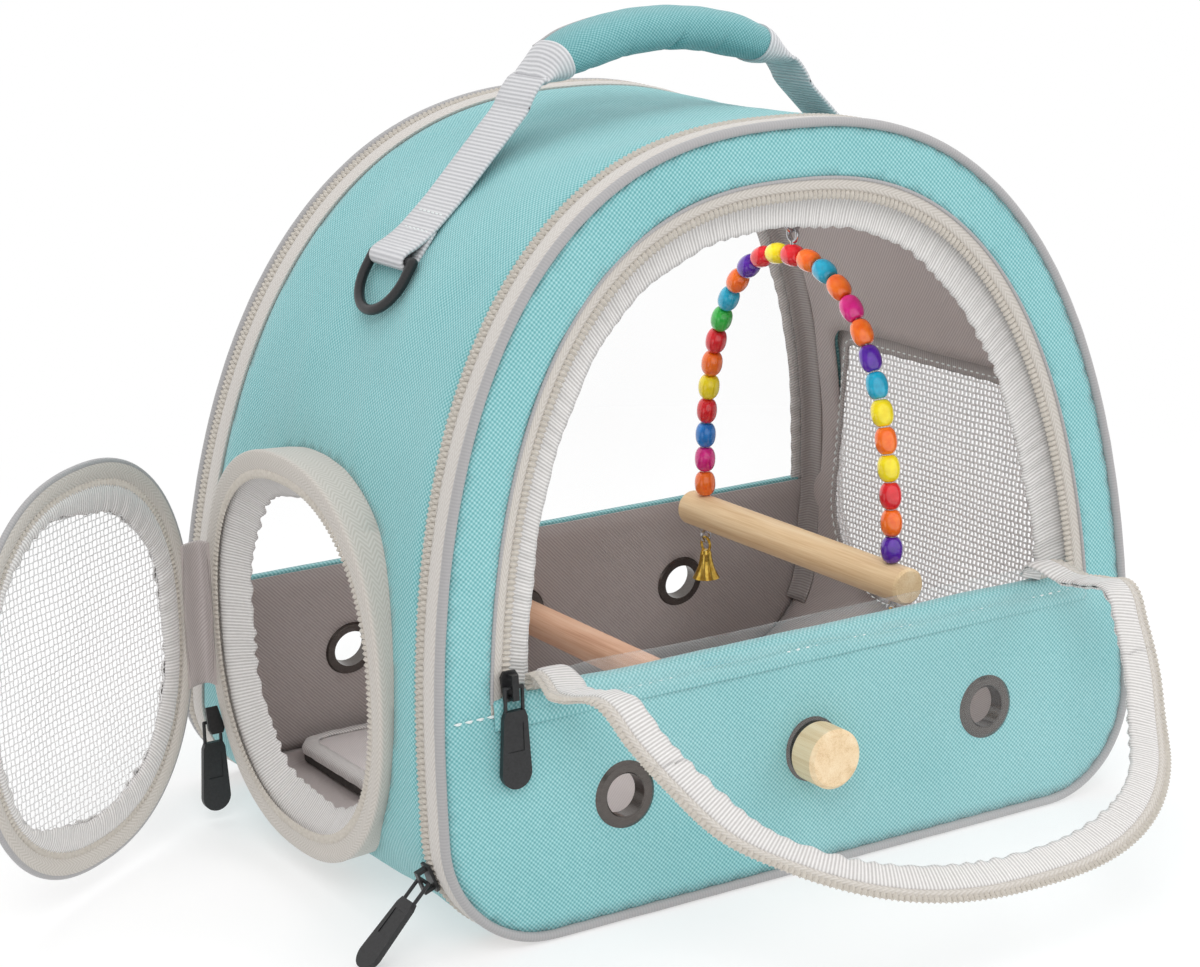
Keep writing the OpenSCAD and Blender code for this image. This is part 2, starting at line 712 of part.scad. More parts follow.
// Short stretch of webbing from each end of the grip down to the fold
grip_end_p = [grip_arc_r * sin(grip_end_a), grip_arc_z + grip_arc_r * cos(grip_end_a)];
webbing_foot = [handle_fold_x, handle_fold_z + webbing_t / 2];
webbing_head = grip_end_p + webbing_gap * unit(webbing_foot - grip_end_p);
module handle_webbing() color("#c9cacc") for (s = [-1, 1])
  strip([[s * webbing_head[0], webbing_head[1]], [s * webbing_foot[0], webbing_foot[1]]],
        webbing_t, webbing_w);

// Strap: a loop round the ring's bar, a run on the roof, then up to the fold of the handle
ring_slope = arch_slope(ring_x, cloth_inset);
ring_lift = ring_wire_r + 0.3 + webbing_t + 0.3;
function over_roof(x, lift) =
  let (a = arch_slope(x, cloth_inset)) [x + lift * sin(a), arch_z(x, cloth_inset) + lift * cos(a)];
ring_bar = over_roof(ring_x, ring_lift);
strap_lift = webbing_t / 2 + 0.3;
strap_leave_x = 95;
function strap_path() = concat(
  [for (i = [0:6]) over_roof(ring_x - i * (ring_x - strap_leave_x) / 6, strap_lift)],
  [[handle_fold_x, handle_fold_z - webbing_t / 2]]
);
module strap() difference() {
  union() {
    strip(strap_path(), webbing_t, webbing_w);
    translate([ring_bar[0], handle_y, ring_bar[1]]) rotate([90, 0, 0])
      cylinder(h = webbing_w, r = ring_wire_r + 0.3 + webbing_t, center = true, $fn = 40);
  }
  translate([ring_bar[0], handle_y, ring_bar[1]]) rotate([90, 0, 0])
    cylinder(h = webbing_w + 1, r = ring_wire_r + 0.3, center = true, $fn = 40);
}
module strap_right() color("#c9cacc") strap();
module strap_left() color("#c9cacc") mirror([1, 0, 0]) strap();

// D-ring: a straight bar, two legs and a half-round bow, laid down the slope of the roof
ring_half_w = webbing_w / 2 + 0.8 + ring_wire_r;
ring_droop = 5;
module d_ring() translate([ring_bar[0], handle_y, ring_bar[1]]) rotate([0, ring_slope + ring_droop, 0]) {
  rotate([90, 0, 0]) cylinder(h = 2 * ring_half_w, r = ring_wire_r, center = true, $fn = 32);
  for (s = [-1, 1]) translate([0, s * ring_half_w, 0]) {
    rotate([0, 90, 0]) cylinder(h = ring_leg, r = ring_wire_r, $fn = 32);
    sphere(r = ring_wire_r, $fn = 32);
  }
  translate([ring_leg, 0, 0]) rotate([0, 0, -90]) rotate_extrude(angle = 180, $fn = 64)
    translate([ring_half_w, 0]) circle(r = ring_wire_r, $fn = 32);
}
module d_ring_right() color("#1c1c1c") d_ring();
module d_ring_left() color("#1c1c1c") mirror([1, 0, 0]) d_ring();

// ---- bead swing ----

swing_z0 = dowel_z + dowel_r;
bead_arch_z = cabin_h - swing_drop;
hook_wire_r = 1;
hook_eye_r = 5;
hook_foot_r = 3.6;
hook_foot_wire_r = 0.8;
roof_loop_h = 15;
roof_loop_w = 5;
roof_loop_r = 2.4;
roof_loop_t = 1.2;
roof_loop_z = arch_z(swing_x, cabin_inset) - roof_loop_h + 4.6;
sway_z = roof_loop_z - 0.4;
// The eye stands clear of the bead at the crown, and the hook's foot hangs in it
swing_eye_r = 3.2;
swing_gap = 0.4;
swing_eye_z = bead_arch_z + bead_r + swing_gap + wire_r + swing_eye_r;
rock_z = swing_eye_z + swing_eye_r - wire_r - swing_gap - hook_foot_wire_r;
arch_round = 2.35;

// Cloth loop sewn to the roof, open along Y
module swing_roof_loop() color("#857d7a") intersection() {
  along_y(swing_y - roof_loop_w / 2, swing_y + roof_loop_w / 2)
    translate([swing_x, roof_loop_z]) difference() {
      union() {
        circle(r = roof_loop_r + roof_loop_t, $fn = 32);
        translate([-roof_loop_r - roof_loop_t, 0])
          square([2 * (roof_loop_r + roof_loop_t), 2 * roof_loop_h]);
      }
      circle(r = roof_loop_r, $fn = 32);
      translate([-roof_loop_r, 0]) square([2 * roof_loop_r, 6.5]);
    }
  along_y(-cabin_d / 2, cabin_d / 2) cabin_outline();
}
// Hook: two wire eyes at right angles joined by a shank
module swing_hook() color("#c8c8ca") {
  translate([swing_x, swing_y, sway_z - hook_eye_r]) rotate([0, 90, 0])
    wire_eye(hook_eye_r, hook_wire_r);
  translate([swing_x, swing_y, rock_z + hook_foot_r]) rotate([90, 0, 0])
    wire_eye(hook_foot_r, hook_foot_wire_r);
  translate([swing_x, swing_y, rock_z + 2 * hook_foot_r])
    cylinder(h = sway_z - rock_z - 2 * hook_foot_r - 2 * hook_eye_r, r = hook_wire_r, $fn = 24);
}
module wire_eye(r, w) rotate_extrude($fn = 40) translate([r, 0]) circle(r = w, $fn = 20);

// Wire arch: legs rise from the dowel and close over the top with an eye
function bead_arch(t) = let (a = 180 * t) [
  swing_x,
  swing_y - bead_arch_half * sign(cos(a)) * pow(abs(cos(a)), 2 / arch_round),
  swing_z0 + (bead_arch_z - swing_z0) * pow(abs(sin(a)), 2 / arch_round)
];
// The arch again, in steps of equal length, from a fine walk along it
walk_n = 240;
walk = [for (i = [0:walk_n]) bead_arch(i / walk_n)];
walk_l = [
  for (i = 0, l = 0; i <= walk_n; i = i + 1, l = i <= walk_n ? l + norm(walk[i] - walk[i - 1]) : l) l
];
function walk_at(l) =
  let (hit = [for (i = [1:walk_n]) if (walk_l[i] >= l - 0.0001) i][0],
       part = (l - walk_l[hit - 1]) / (walk_l[hit] - walk_l[hit - 1]))
  walk[hit - 1] + (walk[hit] - walk[hit - 1]) * part;
arch_l = walk_l[walk_n];
bead_step = arch_l / bead_count;
wire_stem_r = wire_r * 1.4;
module swing_wire() color("#c8c8ca") {
  tube([for (i = [0:54]) walk_at(arch_l * i / 54)], [1, 0, 0], wire_r, wire_r, 8, false);
  translate([swing_x, swing_y, swing_eye_z]) rotate([0, 90, 0]) wire_eye(swing_eye_r, wire_r);
  translate([swing_x, swing_y, bead_arch_z - 0.4])
    cylinder(h = swing_eye_z - swing_eye_r - bead_arch_z + 0.8, r = wire_stem_r, $fn = 24);
}
// A bead: a rounded barrel with a bore for the wire
bead_l = bead_step * 0.94;
bead_bore_r = wire_r + 0.6;
bead_shoulder_r = 1.6;
module bead() rotate_extrude($fn = 28) polygon(concat(
  [[bead_bore_r, -bead_l / 2 + 0.4]],
  [for (i = [-4:4]) let (a = 18 * i)
    [bead_shoulder_r + (bead_r - bead_shoulder_r) * cos(a), bead_l / 2 * sin(a) / sin(72)]],
  [[bead_bore_r, bead_l / 2 - 0.4]]
));
bead_colours = [
  "#f26a1b", "#d0187f", "#1878c8", "#d81e2c", "#f2dc1e", "#f26a1b", "#d81e2c", "#35b24a",
  "#1ba3c4", "#f26a1b", "#5b2390", "#d81e2c", "#f2dc1e", "#d81e2c", "#f26a1b", "#178aa6",
  "#f26a1b", "#d0187f", "#f26a1b", "#4a1f8a", "#1ba3c4", "#f2dc1e", "#f26a1b", "#f2dc1e",
  "#d81e2c", "#f26a1b", "#6a1f9a"
];
module swing_beads() for (i = [0:bead_count - 1]) {
  p = walk_at(arch_l - (i + 0.5) * bead_step);
  d = walk_at(arch_l - (i + 0.55) * bead_step) - walk_at(arch_l - (i + 0.45) * bead_step);
  color(bead_colours[i % len(bead_colours)]) difference() {
    translate(p) rotate([atan2(-d[1], d[2]), 0, 0]) bead();
    // the bead at the crown is drilled for the stem of the eye
    if (2 * i + 1 == bead_count) translate([swing_x, swing_y, bead_arch_z])
      cylinder(h = 2 * bead_r, r = wire_stem_r + 0.3, $fn = 24);
  }
}
module swing_dowel() color("#e6c79a") difference() {
  translate([swing_x, swing_y, dowel_z]) rotate([90, 0, 0]) rotate_extrude($fn = 48) polygon([
    [0, -dowel_l / 2], [dowel_r - 1, -dowel_l / 2], [dowel_r, -dowel_l / 2 + 1],
    [dowel_r, dowel_l / 2 - 1], [dowel_r - 1, dowel_l / 2], [0, dowel_l / 2]
  ]);
  for (s = [-1, 1]) translate([swing_x, swing_y + s * bead_arch_half, dowel_z - dowel_r - 1])
    cylinder(h = 6, r = 0.9, $fn = 24);
}
// Screw eyes under the dowel, each carrying a bell
screw_eye_r = 2.2;
screw_wire_r = 0.7;
screw_eye_z = dowel_z - dowel_r - 1.2 - screw_eye_r;
bell_pivot_z = screw_eye_z - screw_eye_r;
module swing_eye_screws() color("#c8c8ca") for (s = [-1, 1])
  translate([swing_x, swing_y + s * bead_arch_half, 0]) {
    translate([0, 0, dowel_z - dowel_r]) cylinder(h = 4.5, r = 0.8, $fn = 20);
    translate([0, 0, dowel_z - dowel_r - 1.4]) cylinder(h = 1.4, r = 0.8, $fn = 20);
    translate([0, 0, screw_eye_z]) rotate([90, 0, 0]) wire_eye(screw_eye_r, screw_wire_r);
  }
// Bell: an open thin cup with a crown ring and a clapper on a wire
bell_wall = 0.7;
bell_eye_r = 3.2;
bell_eye_wire_r = 0.6;
bell_eye_z = bell_pivot_z + screw_wire_r + bell_eye_wire_r + 0.35 - bell_eye_r;
bell_top_z = bell_eye_z - bell_eye_r + 0.6;
function bell_profile(wall) = [
  for (i = [0:8]) let (t = i / 8)
    [bell_r * (0.42 + 0.58 * pow(t, 2.2)) * (t < 0.05 ? 0.8 : 1) - wall, -bell_h * t]
];
module bell(y) color("#d9b648") translate([swing_x, y, bell_top_z]) {
  rotate_extrude($fn = 48) polygon(concat(
    [[0, 0]], bell_profile(0),
    [for (i = [8:-1:0]) let (p = bell_profile(bell_wall)[i]) [p[0], p[1] - (i == 8 ? 0 : bell_wall)]],
    [[0, -bell_wall]]
  ));
  translate([0, 0, bell_eye_z - bell_top_z]) rotate([0, 90, 0])
    wire_eye(bell_eye_r, bell_eye_wire_r);
  translate([0, 0, -bell_h * 0.55]) cylinder(h = bell_h * 0.55 - bell_wall + 0.1, r = 0.5, $fn = 16);
  translate([0, 0, -bell_h * 0.6]) sphere(r = 1.7, $fn = 24);
}
module bell_front() bell(swing_y - bead_arch_half);
module bell_rear() bell(swing_y + bead_arch_half);

// ---- zip sliders and pulls ----

bar_r = 0.7;
bar_lift = 3.4;
bar_gap = 0.3;
slider_plate_t = 1.2;
slider_bridge_w = 2.6;
slider_bridge_l = slider_l * 0.84;
slider_bridge_wall = 1.2;
slider_shoulder = 1.2;
// Slider: zip runs along Y, the outside is +Z, a bridge over the top holds the pull's bar
module slider() {
  tail_x = slider_w * 0.36;
  linear_extrude(slider_plate_t) polygon([
    [-tail_x, -slider_l / 2], [tail_x, -slider_l / 2],
    [slider_w / 2, slider_l / 2 - 2], [slider_w / 2 - slider_shoulder, slider_l / 2],
    [-slider_w / 2 + slider_shoulder, slider_l / 2], [-slider_w / 2, slider_l / 2 - 2]
  ]);
  difference() {
    translate([-slider_bridge_w / 2, -slider_bridge_l / 2, slider_plate_t - 0.1])
      cube([slider_bridge_w, slider_bridge_l, bar_lift + 0.7]);
    translate([-slider_bridge_w, -slider_bridge_l / 2 + slider_bridge_wall, slider_plate_t - 0.2])
      cube([2 * slider_bridge_w, slider_bridge_l - 2 * slider_bridge_wall,
            bar_lift + bar_r + bar_gap - slider_plate_t + 0.2]);
  }
}
// Pull: a bar in the bridge, two legs and a flared tab with a round end, hanging along -Z
module pull() {
  tab_top = -8.5;
  leg_x = 3.5;
  rotate([0, 90, 0]) cylinder(h = 2 * leg_x, r = bar_r, center = true, $fn = 24);
  for (s = [-1, 1]) {
    translate([s * leg_x, 0, 0]) sphere(r = bar_r, $fn = 24);
    translate([s * leg_x, 0, tab_top - 1]) cylinder(h = -tab_top + 1, r = bar_r, $fn = 24);
  }
  difference() {
    translate([0, pull_t / 2, 0]) rotate([90, 0, 0]) linear_extrude(pull_t) union() {
      polygon([
        [-pull_w * 0.4, tab_top - 2.5], [-pull_w * 0.4 + 1, tab_top], [pull_w * 0.4 - 1, tab_top],
        [pull_w * 0.4, tab_top - 2.5], [pull_w / 2, tab_top - pull_l + pull_w / 2],
        [-pull_w / 2, tab_top - pull_l + pull_w / 2]
      ]);
      translate([0, tab_top - pull_l + pull_w / 2]) circle(r = pull_w / 2, $fn = 48);
    }
    for (s = [-1, 1]) translate([-pull_w * 0.26, s * (pull_t / 2 + 0.01) - 0.3, tab_top - pull_l * 0.52])
      cube([pull_w * 0.52, 0.6, pull_l * 0.36]);
  }
}

// Places of the sliders on their zips
slider_z = hem_z + 6;
slider_window_x = -arch_x(slider_z, coil_inset + coil_w / 2);
slider_window_depth = panel_depth - 1.3;
module at_window_slider() front_frame() translate([slider_window_x, slider_window_depth, slider_z])
  rotate([90, 0, 0]) children();
corner_slider_a = 20;
function corner_slider_p(lift) = [
  cabin_w / 2 - corner_r + (corner_r - chain_inset + lift) * cos(corner_slider_a),
  corner_r - (corner_r - chain_inset + lift) * sin(corner_slider_a)
];
corner_chain_z = corner_slider_p(0)[1];
slider_seat = 0.2;
module at_front_slider()
  translate([-corner_slider_p(slider_seat)[0],
             -cabin_d / 2 + chain_depth + chain_w / 2 + corner_chain_z * tan(front_lean),
             corner_slider_p(slider_seat)[1]])
    rotate([0, -90 - corner_slider_a, 0]) rotate([0, 0, 90]) children();
module at_rear_slider()
  translate([corner_slider_p(slider_seat)[0],
             cabin_d / 2 - band_depth - chain_w / 2 - corner_chain_z * tan(rear_lean),
             corner_slider_p(slider_seat)[1]])
    rotate([0, 90 + corner_slider_a, 0]) rotate([0, 0, 90]) children();
// The door's slider rides outside the rim, low on the hinge side, square to the oval
door_slider_z = 44;
door_slider_rise = (door_z - door_slider_z) / door_half_h;
door_slider_run = pow(1 - pow(door_slider_rise, door_power), 1 / door_power);
door_slider_y = door_y + door_half_w * door_slider_run;
door_slider_a = atan2(pow(door_slider_rise, door_power - 1) / door_half_h,
                      pow(door_slider_run, door_power - 1) / door_half_w);
door_slider_x = -rim_x - 2.5;
module at_door_slider(lift) translate([door_slider_x, door_slider_y + lift * cos(door_slider_a),
                                       door_slider_z - lift * sin(door_slider_a)]) children();

door_slider_lift = 1;
module zip_sliders() color("#1c1c1c") {
  at_window_slider() slider();
  at_front_slider() slider();
  at_rear_slider() slider();
  at_door_slider(door_slider_lift) rotate([-90 - door_slider_a, 0, 0]) slider();
}
module window_pull() color("#1c1c1c") front_frame()
  translate([slider_window_x, slider_window_depth - bar_lift, slider_z])
    rotate([front_lean, 0, 0]) pull();
module door_pull() color("#1c1c1c") at_door_slider(door_slider_lift + bar_lift) pull();
corner_pull_turn = 45;
module corner_pull() rotate([0, corner_pull_turn, 0]) rotate([0, 0, 90]) pull();
module front_pull() color("#1c1c1c")
  translate([-corner_slider_p(slider_seat + bar_lift)[0],
             -cabin_d / 2 + chain_depth + chain_w / 2 + corner_chain_z * tan(front_lean),
             corner_slider_p(slider_seat + bar_lift)[1]]) corner_pull();
module rear_pull() color("#1c1c1c")
  translate([corner_slider_p(slider_seat + bar_lift)[0],
             cabin_d / 2 - band_depth - chain_w / 2 - corner_chain_z * tan(rear_lean),
             corner_slider_p(slider_seat + bar_lift)[1]]) rotate([0, 0, 180]) corner_pull();

// ---- whole ----

gusset_shell();
gusset_lining();
front_panel();
front_panel_lining();
front_piping();
front_band();
front_zip_chain();
rear_panel();
rear_panel_lining();
rear_piping();
rear_band();
rear_zip_chain();
rear_window_film();
rear_window_binding();
window_zip_tape();
window_zip_coil();
window_binding();
front_eyelets();
rear_eyelets();
base_board();
floor_mat();
floor_mat_binding();
door_rim_tape();
door_rim_coil();
door_rim_binding();
side_net();
side_net_binding();
handle_grip();
handle_end_bindings();
handle_webbing();
strap_left();
strap_right();
d_ring_left();
d_ring_right();
perch_rod();
perch_caps();
swing_roof_loop();
swing_hook();
swing_wire();
swing_beads();
swing_dowel();
swing_eye_screws();
bell_front();
bell_rear();
door_net();
door_binding();
door_tape();
door_coil();
door_hinge_strip();
flap_film_lower();
flap_film_middle();
flap_film_tip();
flap_edging_lower();
flap_edging_middle();
flap_edging_tip();
zip_sliders();
window_pull();
door_pull();
front_pull();
rear_pull();
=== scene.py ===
"""Bird travel carrier: the looks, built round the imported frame.

Lengths are millimetres until a mesh is made. X runs across the arch, Y from the front to the
rear and Z up. The arch is a superellipse standing on two corner arcs, each end of the cabin
is a plane that leans inwards, and the door and its rim are ovals of Y and Z. Cloth is cut
flat, laid on these forms and then drawn in, sagged or gathered by height formulas.
"""

import bmesh
import bpy
import numpy as np
from mathutils import Matrix, Vector
from mathutils.geometry import delaunay_2d_cdt


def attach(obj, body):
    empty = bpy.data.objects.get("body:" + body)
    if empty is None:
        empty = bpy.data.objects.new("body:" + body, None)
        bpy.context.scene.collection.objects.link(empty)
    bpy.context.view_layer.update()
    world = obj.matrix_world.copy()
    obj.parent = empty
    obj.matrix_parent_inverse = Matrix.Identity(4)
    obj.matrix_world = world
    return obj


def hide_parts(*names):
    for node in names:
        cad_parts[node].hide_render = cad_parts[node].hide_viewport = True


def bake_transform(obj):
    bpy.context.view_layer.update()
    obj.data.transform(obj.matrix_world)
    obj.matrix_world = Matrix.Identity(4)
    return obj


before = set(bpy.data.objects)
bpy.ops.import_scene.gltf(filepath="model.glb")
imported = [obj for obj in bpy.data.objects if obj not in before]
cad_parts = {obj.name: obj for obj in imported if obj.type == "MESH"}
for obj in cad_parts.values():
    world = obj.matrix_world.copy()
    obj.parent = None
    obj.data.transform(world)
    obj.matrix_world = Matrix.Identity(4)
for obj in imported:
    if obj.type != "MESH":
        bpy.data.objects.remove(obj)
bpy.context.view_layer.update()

# ---- sizes of the carrier ----

WIDTH, HEIGHT, DEPTH = 320.0, 284.0, 232.0
CORNER, POWER = 44.0, 2.46
FRONT_LEAN, REAR_LEAN = np.radians(3.4), np.radians(8.4)
HEM_Z, REAR_HEM_Z = 92.0, 88.0
# Canvas wall: its inset from the outline, and where it starts behind the front
WALL_INSET, WALL_START = 1.2, 17.5
# Step along a gathered ribbon
GATHER_STEP = 1.6
EYELET_Z, EYELET_PITCH, EYELET_HOLE, EYELET_MID = 47.6, 84.0, 8.9, 3.1
DOOR_Y, DOOR_Z, DOOR_HALF_W, DOOR_HALF_H, DOOR_POWER = -4.0, 87.0, 74.0, 78.0, 2.3
HINGE = np.array([-168.0, 74.0])
DOOR_OPEN = np.radians(55)
# Net opening: its four sides in Y and Z, and its lower and upper corner radii
NET_FRONT, NET_REAR, NET_LOW, NET_TOP, NET_MID = -84, 76, 36, 166, 101.0
NET_ROUND, NET_TIGHT = 48.0, 12.0
MAT_HALF_W, MAT_FRONT, MAT_REAR, MAT_CORNER = 114.0, -105.7, 104.7, 14
HANDLE_Y = -12.53
GRIP_R, GRIP_Z = 123.04, 187.96
GRIP_END, GRIP_BIND = np.radians(27.6), np.radians(5.5)
# Strap: the ring's bar in X and Z, the slope of the wall there, and the webbing's size
BAR = np.array([117.339, 234.864])
SLOPE = np.radians(52.67)
WEBBING_W, WEBBING_T = 25.0, 1.6
# Swing: its place, and the half width, rise, foot and power of the bead arch
SWING_X, SWING_Y = 70.0, -5.0
SWING_HALF, SWING_RISE, SWING_FOOT, SWING_POWER = 66, 115, 99, 2.35
# Flap: heights of its folds up the closed panel, the angle of each, and its depth there
FOLDS = (95.0, 142.7, 199.94)
TURNS = np.radians([86.0, 51.0, -18.0])
FOLD_DEPTH = 2.4
STRETCHES = ("lower", "middle", "tip")
CUTS = (121.0, 170.0)
TOOTH_PITCH = 2.1


# ---- plain geometry ----


def run_length(points):
    """Distance walked along a line of points, from its first one."""
    return np.r_[0, np.cumsum(np.linalg.norm(np.diff(points, axis=0), axis=1))]


def along(at, walked, line):
    """Values of the columns of a line at walked distances."""
    return np.stack([np.interp(at, walked, c) for c in line.T], -1)


def even(points, step, closed=False):
    """The same line in steps of nearly equal length; a closed line comes back without its last point."""
    points = np.asarray(points, float)
    if closed:
        points = np.r_[points, points[:1]]
    walked = run_length(points)
    count = max(int(round(walked[-1] / step)), 3)
    made = along(np.linspace(0, walked[-1], count + 1), walked, points)
    return made[:-1] if closed else made


def rounded(points, step, passes):
    """A line in even steps with its corners softened by averaging neighbours."""
    line = even(np.asarray(points, float), step)
    for _ in range(passes):
        line[1:-1] = (line[:-2] + 2 * line[1:-1] + line[2:]) / 4
    return line


def closed_path(points):
    """The points with the first one again at the end."""
    return np.r_[points, points[:1]]


def bent(v, e):
    """A number raised to a power, keeping its sign."""
    return np.sign(v) * np.abs(v) ** e


def smooth(t):
    """A step from 0 to 1 with no corner: t squared times three less two t."""
    t = np.clip(t, 0, 1)
    return t * t * (3 - 2 * t)


def waves(p, size, seed):
    """Smooth random height near -1 to 1: sines of random direction and phase, near the size in length."""
    count = 11
    rng = np.random.default_rng(seed)
    way = rng.normal(size=(count, p.shape[1]))
    way *= (2 * np.pi / size * rng.uniform(0.6, 1.5, count) / np.linalg.norm(way, axis=1))[:, None]
    return np.sin(p @ way.T + rng.uniform(0, 2 * np.pi, count)).sum(1) / count**0.5


def gathers(run, pitch, seed):
    """Ripples of a gathered edge: a sine of the run whose phase and height wander slowly."""
    wander = 1.5 * np.sin(run / pitch * 1.13 + seed) + 0.9 * np.sin(run / pitch * 0.47 + 2.1 * seed)
    return np.sin(2 * np.pi * run / pitch + wander) * (0.7 + 0.3 * np.sin(run / pitch * 0.81 + seed))


def dense_arch(inset, lift):
    """Closed outline in X and Z: from mid floor, a corner arc, then a quarter superellipse to the crown."""
    w, h, r = WIDTH / 2 - inset, HEIGHT - inset - lift, max(CORNER - inset, 4)
    a = np.linspace(0, np.pi / 2, 61)
    corner = np.c_[w - r + r * np.sin(a), r - r * np.cos(a)]
    t = np.linspace(0, 1, 401)
    a = np.pi / 2 * t * (2 - t)
    side = np.c_[w * np.clip(np.cos(a), 0, 1) ** (2 / POWER), r + (h - r) * np.sin(a) ** (2 / POWER)]
    right = np.concatenate([[[0, 0]], corner, side[1:]])
    return np.concatenate([right, right[-2::-1] * [-1, 1]]) + [0, lift]


def arch_stations(step, inset, lift, above=None):
    """Places along the outline, a step apart: all round, or over the crown above a height, right to left."""
    line = dense_arch(inset, lift)
    index = np.arange(len(line))
    walked = run_length(line)
    first, last = 0, walked[-1]
    if above is not None:
        half = len(line) // 2
        first = np.interp(above, line[1 : half + 1, 1], walked[1 : half + 1])
        last = walked[-1] - first
    count = int(round((last - first) / step))
    return np.interp(np.linspace(first, last, count + 1), walked, index)


def arch_at(stations, inset, lift):
    """Points of the outline with this inset, at stations taken from another one."""
    line = dense_arch(inset, lift)
    index = np.arange(len(line))
    return np.c_[np.interp(stations, index, line[:, 0]), np.interp(stations, index, line[:, 1])]


def arch_half(z, inset):
    """Half width of the arch at a height above its corners."""
    share = np.clip((z - CORNER) / (HEIGHT - inset - CORNER), 0, 1)
    return (WIDTH / 2 - inset) * (1 - share**POWER) ** (1 / POWER)


def corner_drop(z):
    """How far a corner arc stands in from the arch's widest place at a height."""
    low = np.clip(CORNER - z, 0, CORNER)
    return CORNER - (CORNER**2 - low**2) ** 0.5


def front(x, z, depth):
    """A point of the leaning front, at a depth behind its plane."""
    x, z, depth = np.broadcast_arrays(x, z, depth)
    return np.stack([x, -DEPTH / 2 + depth / np.cos(FRONT_LEAN) + z * np.tan(FRONT_LEAN), z], -1)


def rear(x, z, depth):
    """A point of the leaning rear, at a depth in front of its plane."""
    x, z, depth = np.broadcast_arrays(x, z, depth)
    return np.stack([x, DEPTH / 2 - depth / np.cos(REAR_LEAN) - z * np.tan(REAR_LEAN), z], -1)


def oval(shrink, step=3.0):
    """Oval of Y and Z: cosine and sine raised to two over its power, a step apart."""
    a = np.linspace(0, 2 * np.pi, 721)[:-1]
    y = DOOR_Y + (DOOR_HALF_W - shrink) * bent(np.cos(a), 2 / DOOR_POWER)
    z = DOOR_Z + (DOOR_HALF_H - shrink) * bent(np.sin(a), 2 / DOOR_POWER)
    return even(np.c_[y, z], step, closed=True)


def opened(p):
    """Turns points of the closed door about its hinge to the open rest position."""
    c, s = np.cos(-DOOR_OPEN), np.sin(-DOOR_OPEN)
    x, y = p[..., 0] - HINGE[0], p[..., 1] - HINGE[1]
    return np.stack([HINGE[0] + c * x - s * y, HINGE[1] + s * x + c * y, p[..., 2]], -1)


def inward(line, closed=True):
    """Unit vectors to the left of an anticlockwise plane line, which is its inside."""
    ahead = np.roll(line, -1, 0) - np.roll(line, 1, 0) if closed else np.gradient(line, axis=0)
    ahead /= np.linalg.norm(ahead, axis=1)[:, None]
    return np.c_[-ahead[:, 1], ahead[:, 0]]


# ---- shells: points, faces and cloth coordinates ----


def shell(points, faces, cut):
    """Points in mm, a list of face arrays and a list of their corners' cloth coordinates in mm."""
    return {"p": np.asarray(points, float), "f": list(faces), "c": list(cut)}


def joined(shells):
    """Several shells as one."""
    offset, faces, cut = 0, [], []
    for s in shells:
        faces += [f + offset for f in s["f"]]
        cut += s["c"]
        offset += len(s["p"])
    return shell(np.concatenate([s["p"] for s in shells]), faces, cut)


def grid(p, loop=False, ring=False, cap=False, turn=False):
    """Quads over rows of points.

    loop joins the last row to the first, ring closes each row, cap fills both ends and turn
    turns the faces over.
    """
    m, n = p.shape[:2]
    rows = np.linalg.norm(np.diff(np.r_[p, p[:1]] if loop else p, axis=0), axis=2).mean(1)
    cols = np.diff(np.concatenate([p, p[:, :1]], 1) if ring else p, axis=1)
    cols = np.linalg.norm(cols, axis=2).mean(0)
    u, v = np.r_[0, np.cumsum(rows)], np.r_[0, np.cumsum(cols)]
    i, j = np.meshgrid(np.arange(len(rows)), np.arange(len(cols)), indexing="ij")
    i2, j2 = (i + 1) % m, (j + 1) % n
    quads = np.stack([i * n + j, i2 * n + j, i2 * n + j2, i * n + j2], -1).reshape(-1, 4)
    cut = np.stack(
        [np.stack([u[a], v[b]], -1) for a, b in ((i, j), (i + 1, j), (i + 1, j + 1), (i, j + 1))], -2
    ).reshape(-1, 4, 2)
    points, faces, cuts = p.reshape(-1, 3), [quads], [cut]
    if cap:
        k = np.arange(n)
        ends = np.array([p[0].mean(0), p[-1].mean(0)])
        low = np.stack([k, (k + 1) % n, np.full(n, m * n)], -1)
        high = np.stack([(m - 1) * n + (k + 1) % n, (m - 1) * n + k, np.full(n, m * n + 1)], -1)
        points = np.r_[points, ends]
        faces += [low, high]
        cuts += [np.zeros((n, 3, 2)), np.zeros((n, 3, 2))]
    made = shell(points, faces, cuts)
    return flipped(made) if turn else made


def flipped(s):
    """The shell with its faces turned over."""
    return shell(s["p"], [f[:, ::-1] for f in s["f"]], [c[:, ::-1] for c in s["c"]])


def outwards(s):
    """The closed shell with its faces outwards: turned over if the volume under them is negative."""
    volume = 0
    for f in s["f"]:
        a = s["p"][f[:, 0]]
        for k in range(1, f.shape[1] - 1):
            volume += (a * np.cross(s["p"][f[:, k]], s["p"][f[:, k + 1]])).sum()
    return flipped(s) if volume < 0 else s


def swept(path, side, up, profile, loop=False):
    """A closed profile along a path: point (a, b) lands at the path plus a times side plus b times up."""
    profile = np.asarray(profile, float)
    if profile.ndim == 2:
        profile = np.broadcast_to(profile, (len(path), *profile.shape))
    p = path[:, None] + profile[..., :1] * side[:, None] + profile[..., 1:] * up[:, None]
    return outwards(grid(p, loop=loop, ring=True, cap=not loop))


def circle(ra, rb, sides):
    """Profile of an ellipse with two half widths: cosine and sine."""
    a = np.linspace(0, 2 * np.pi, sides + 1)[:-1] + np.pi / sides
    return np.c_[ra * np.cos(a), rb * np.sin(a)]


def tangents(path):
    """Unit directions along a path of points."""
    d = np.gradient(path, axis=0)
    return d / np.linalg.norm(d, axis=1)[:, None]


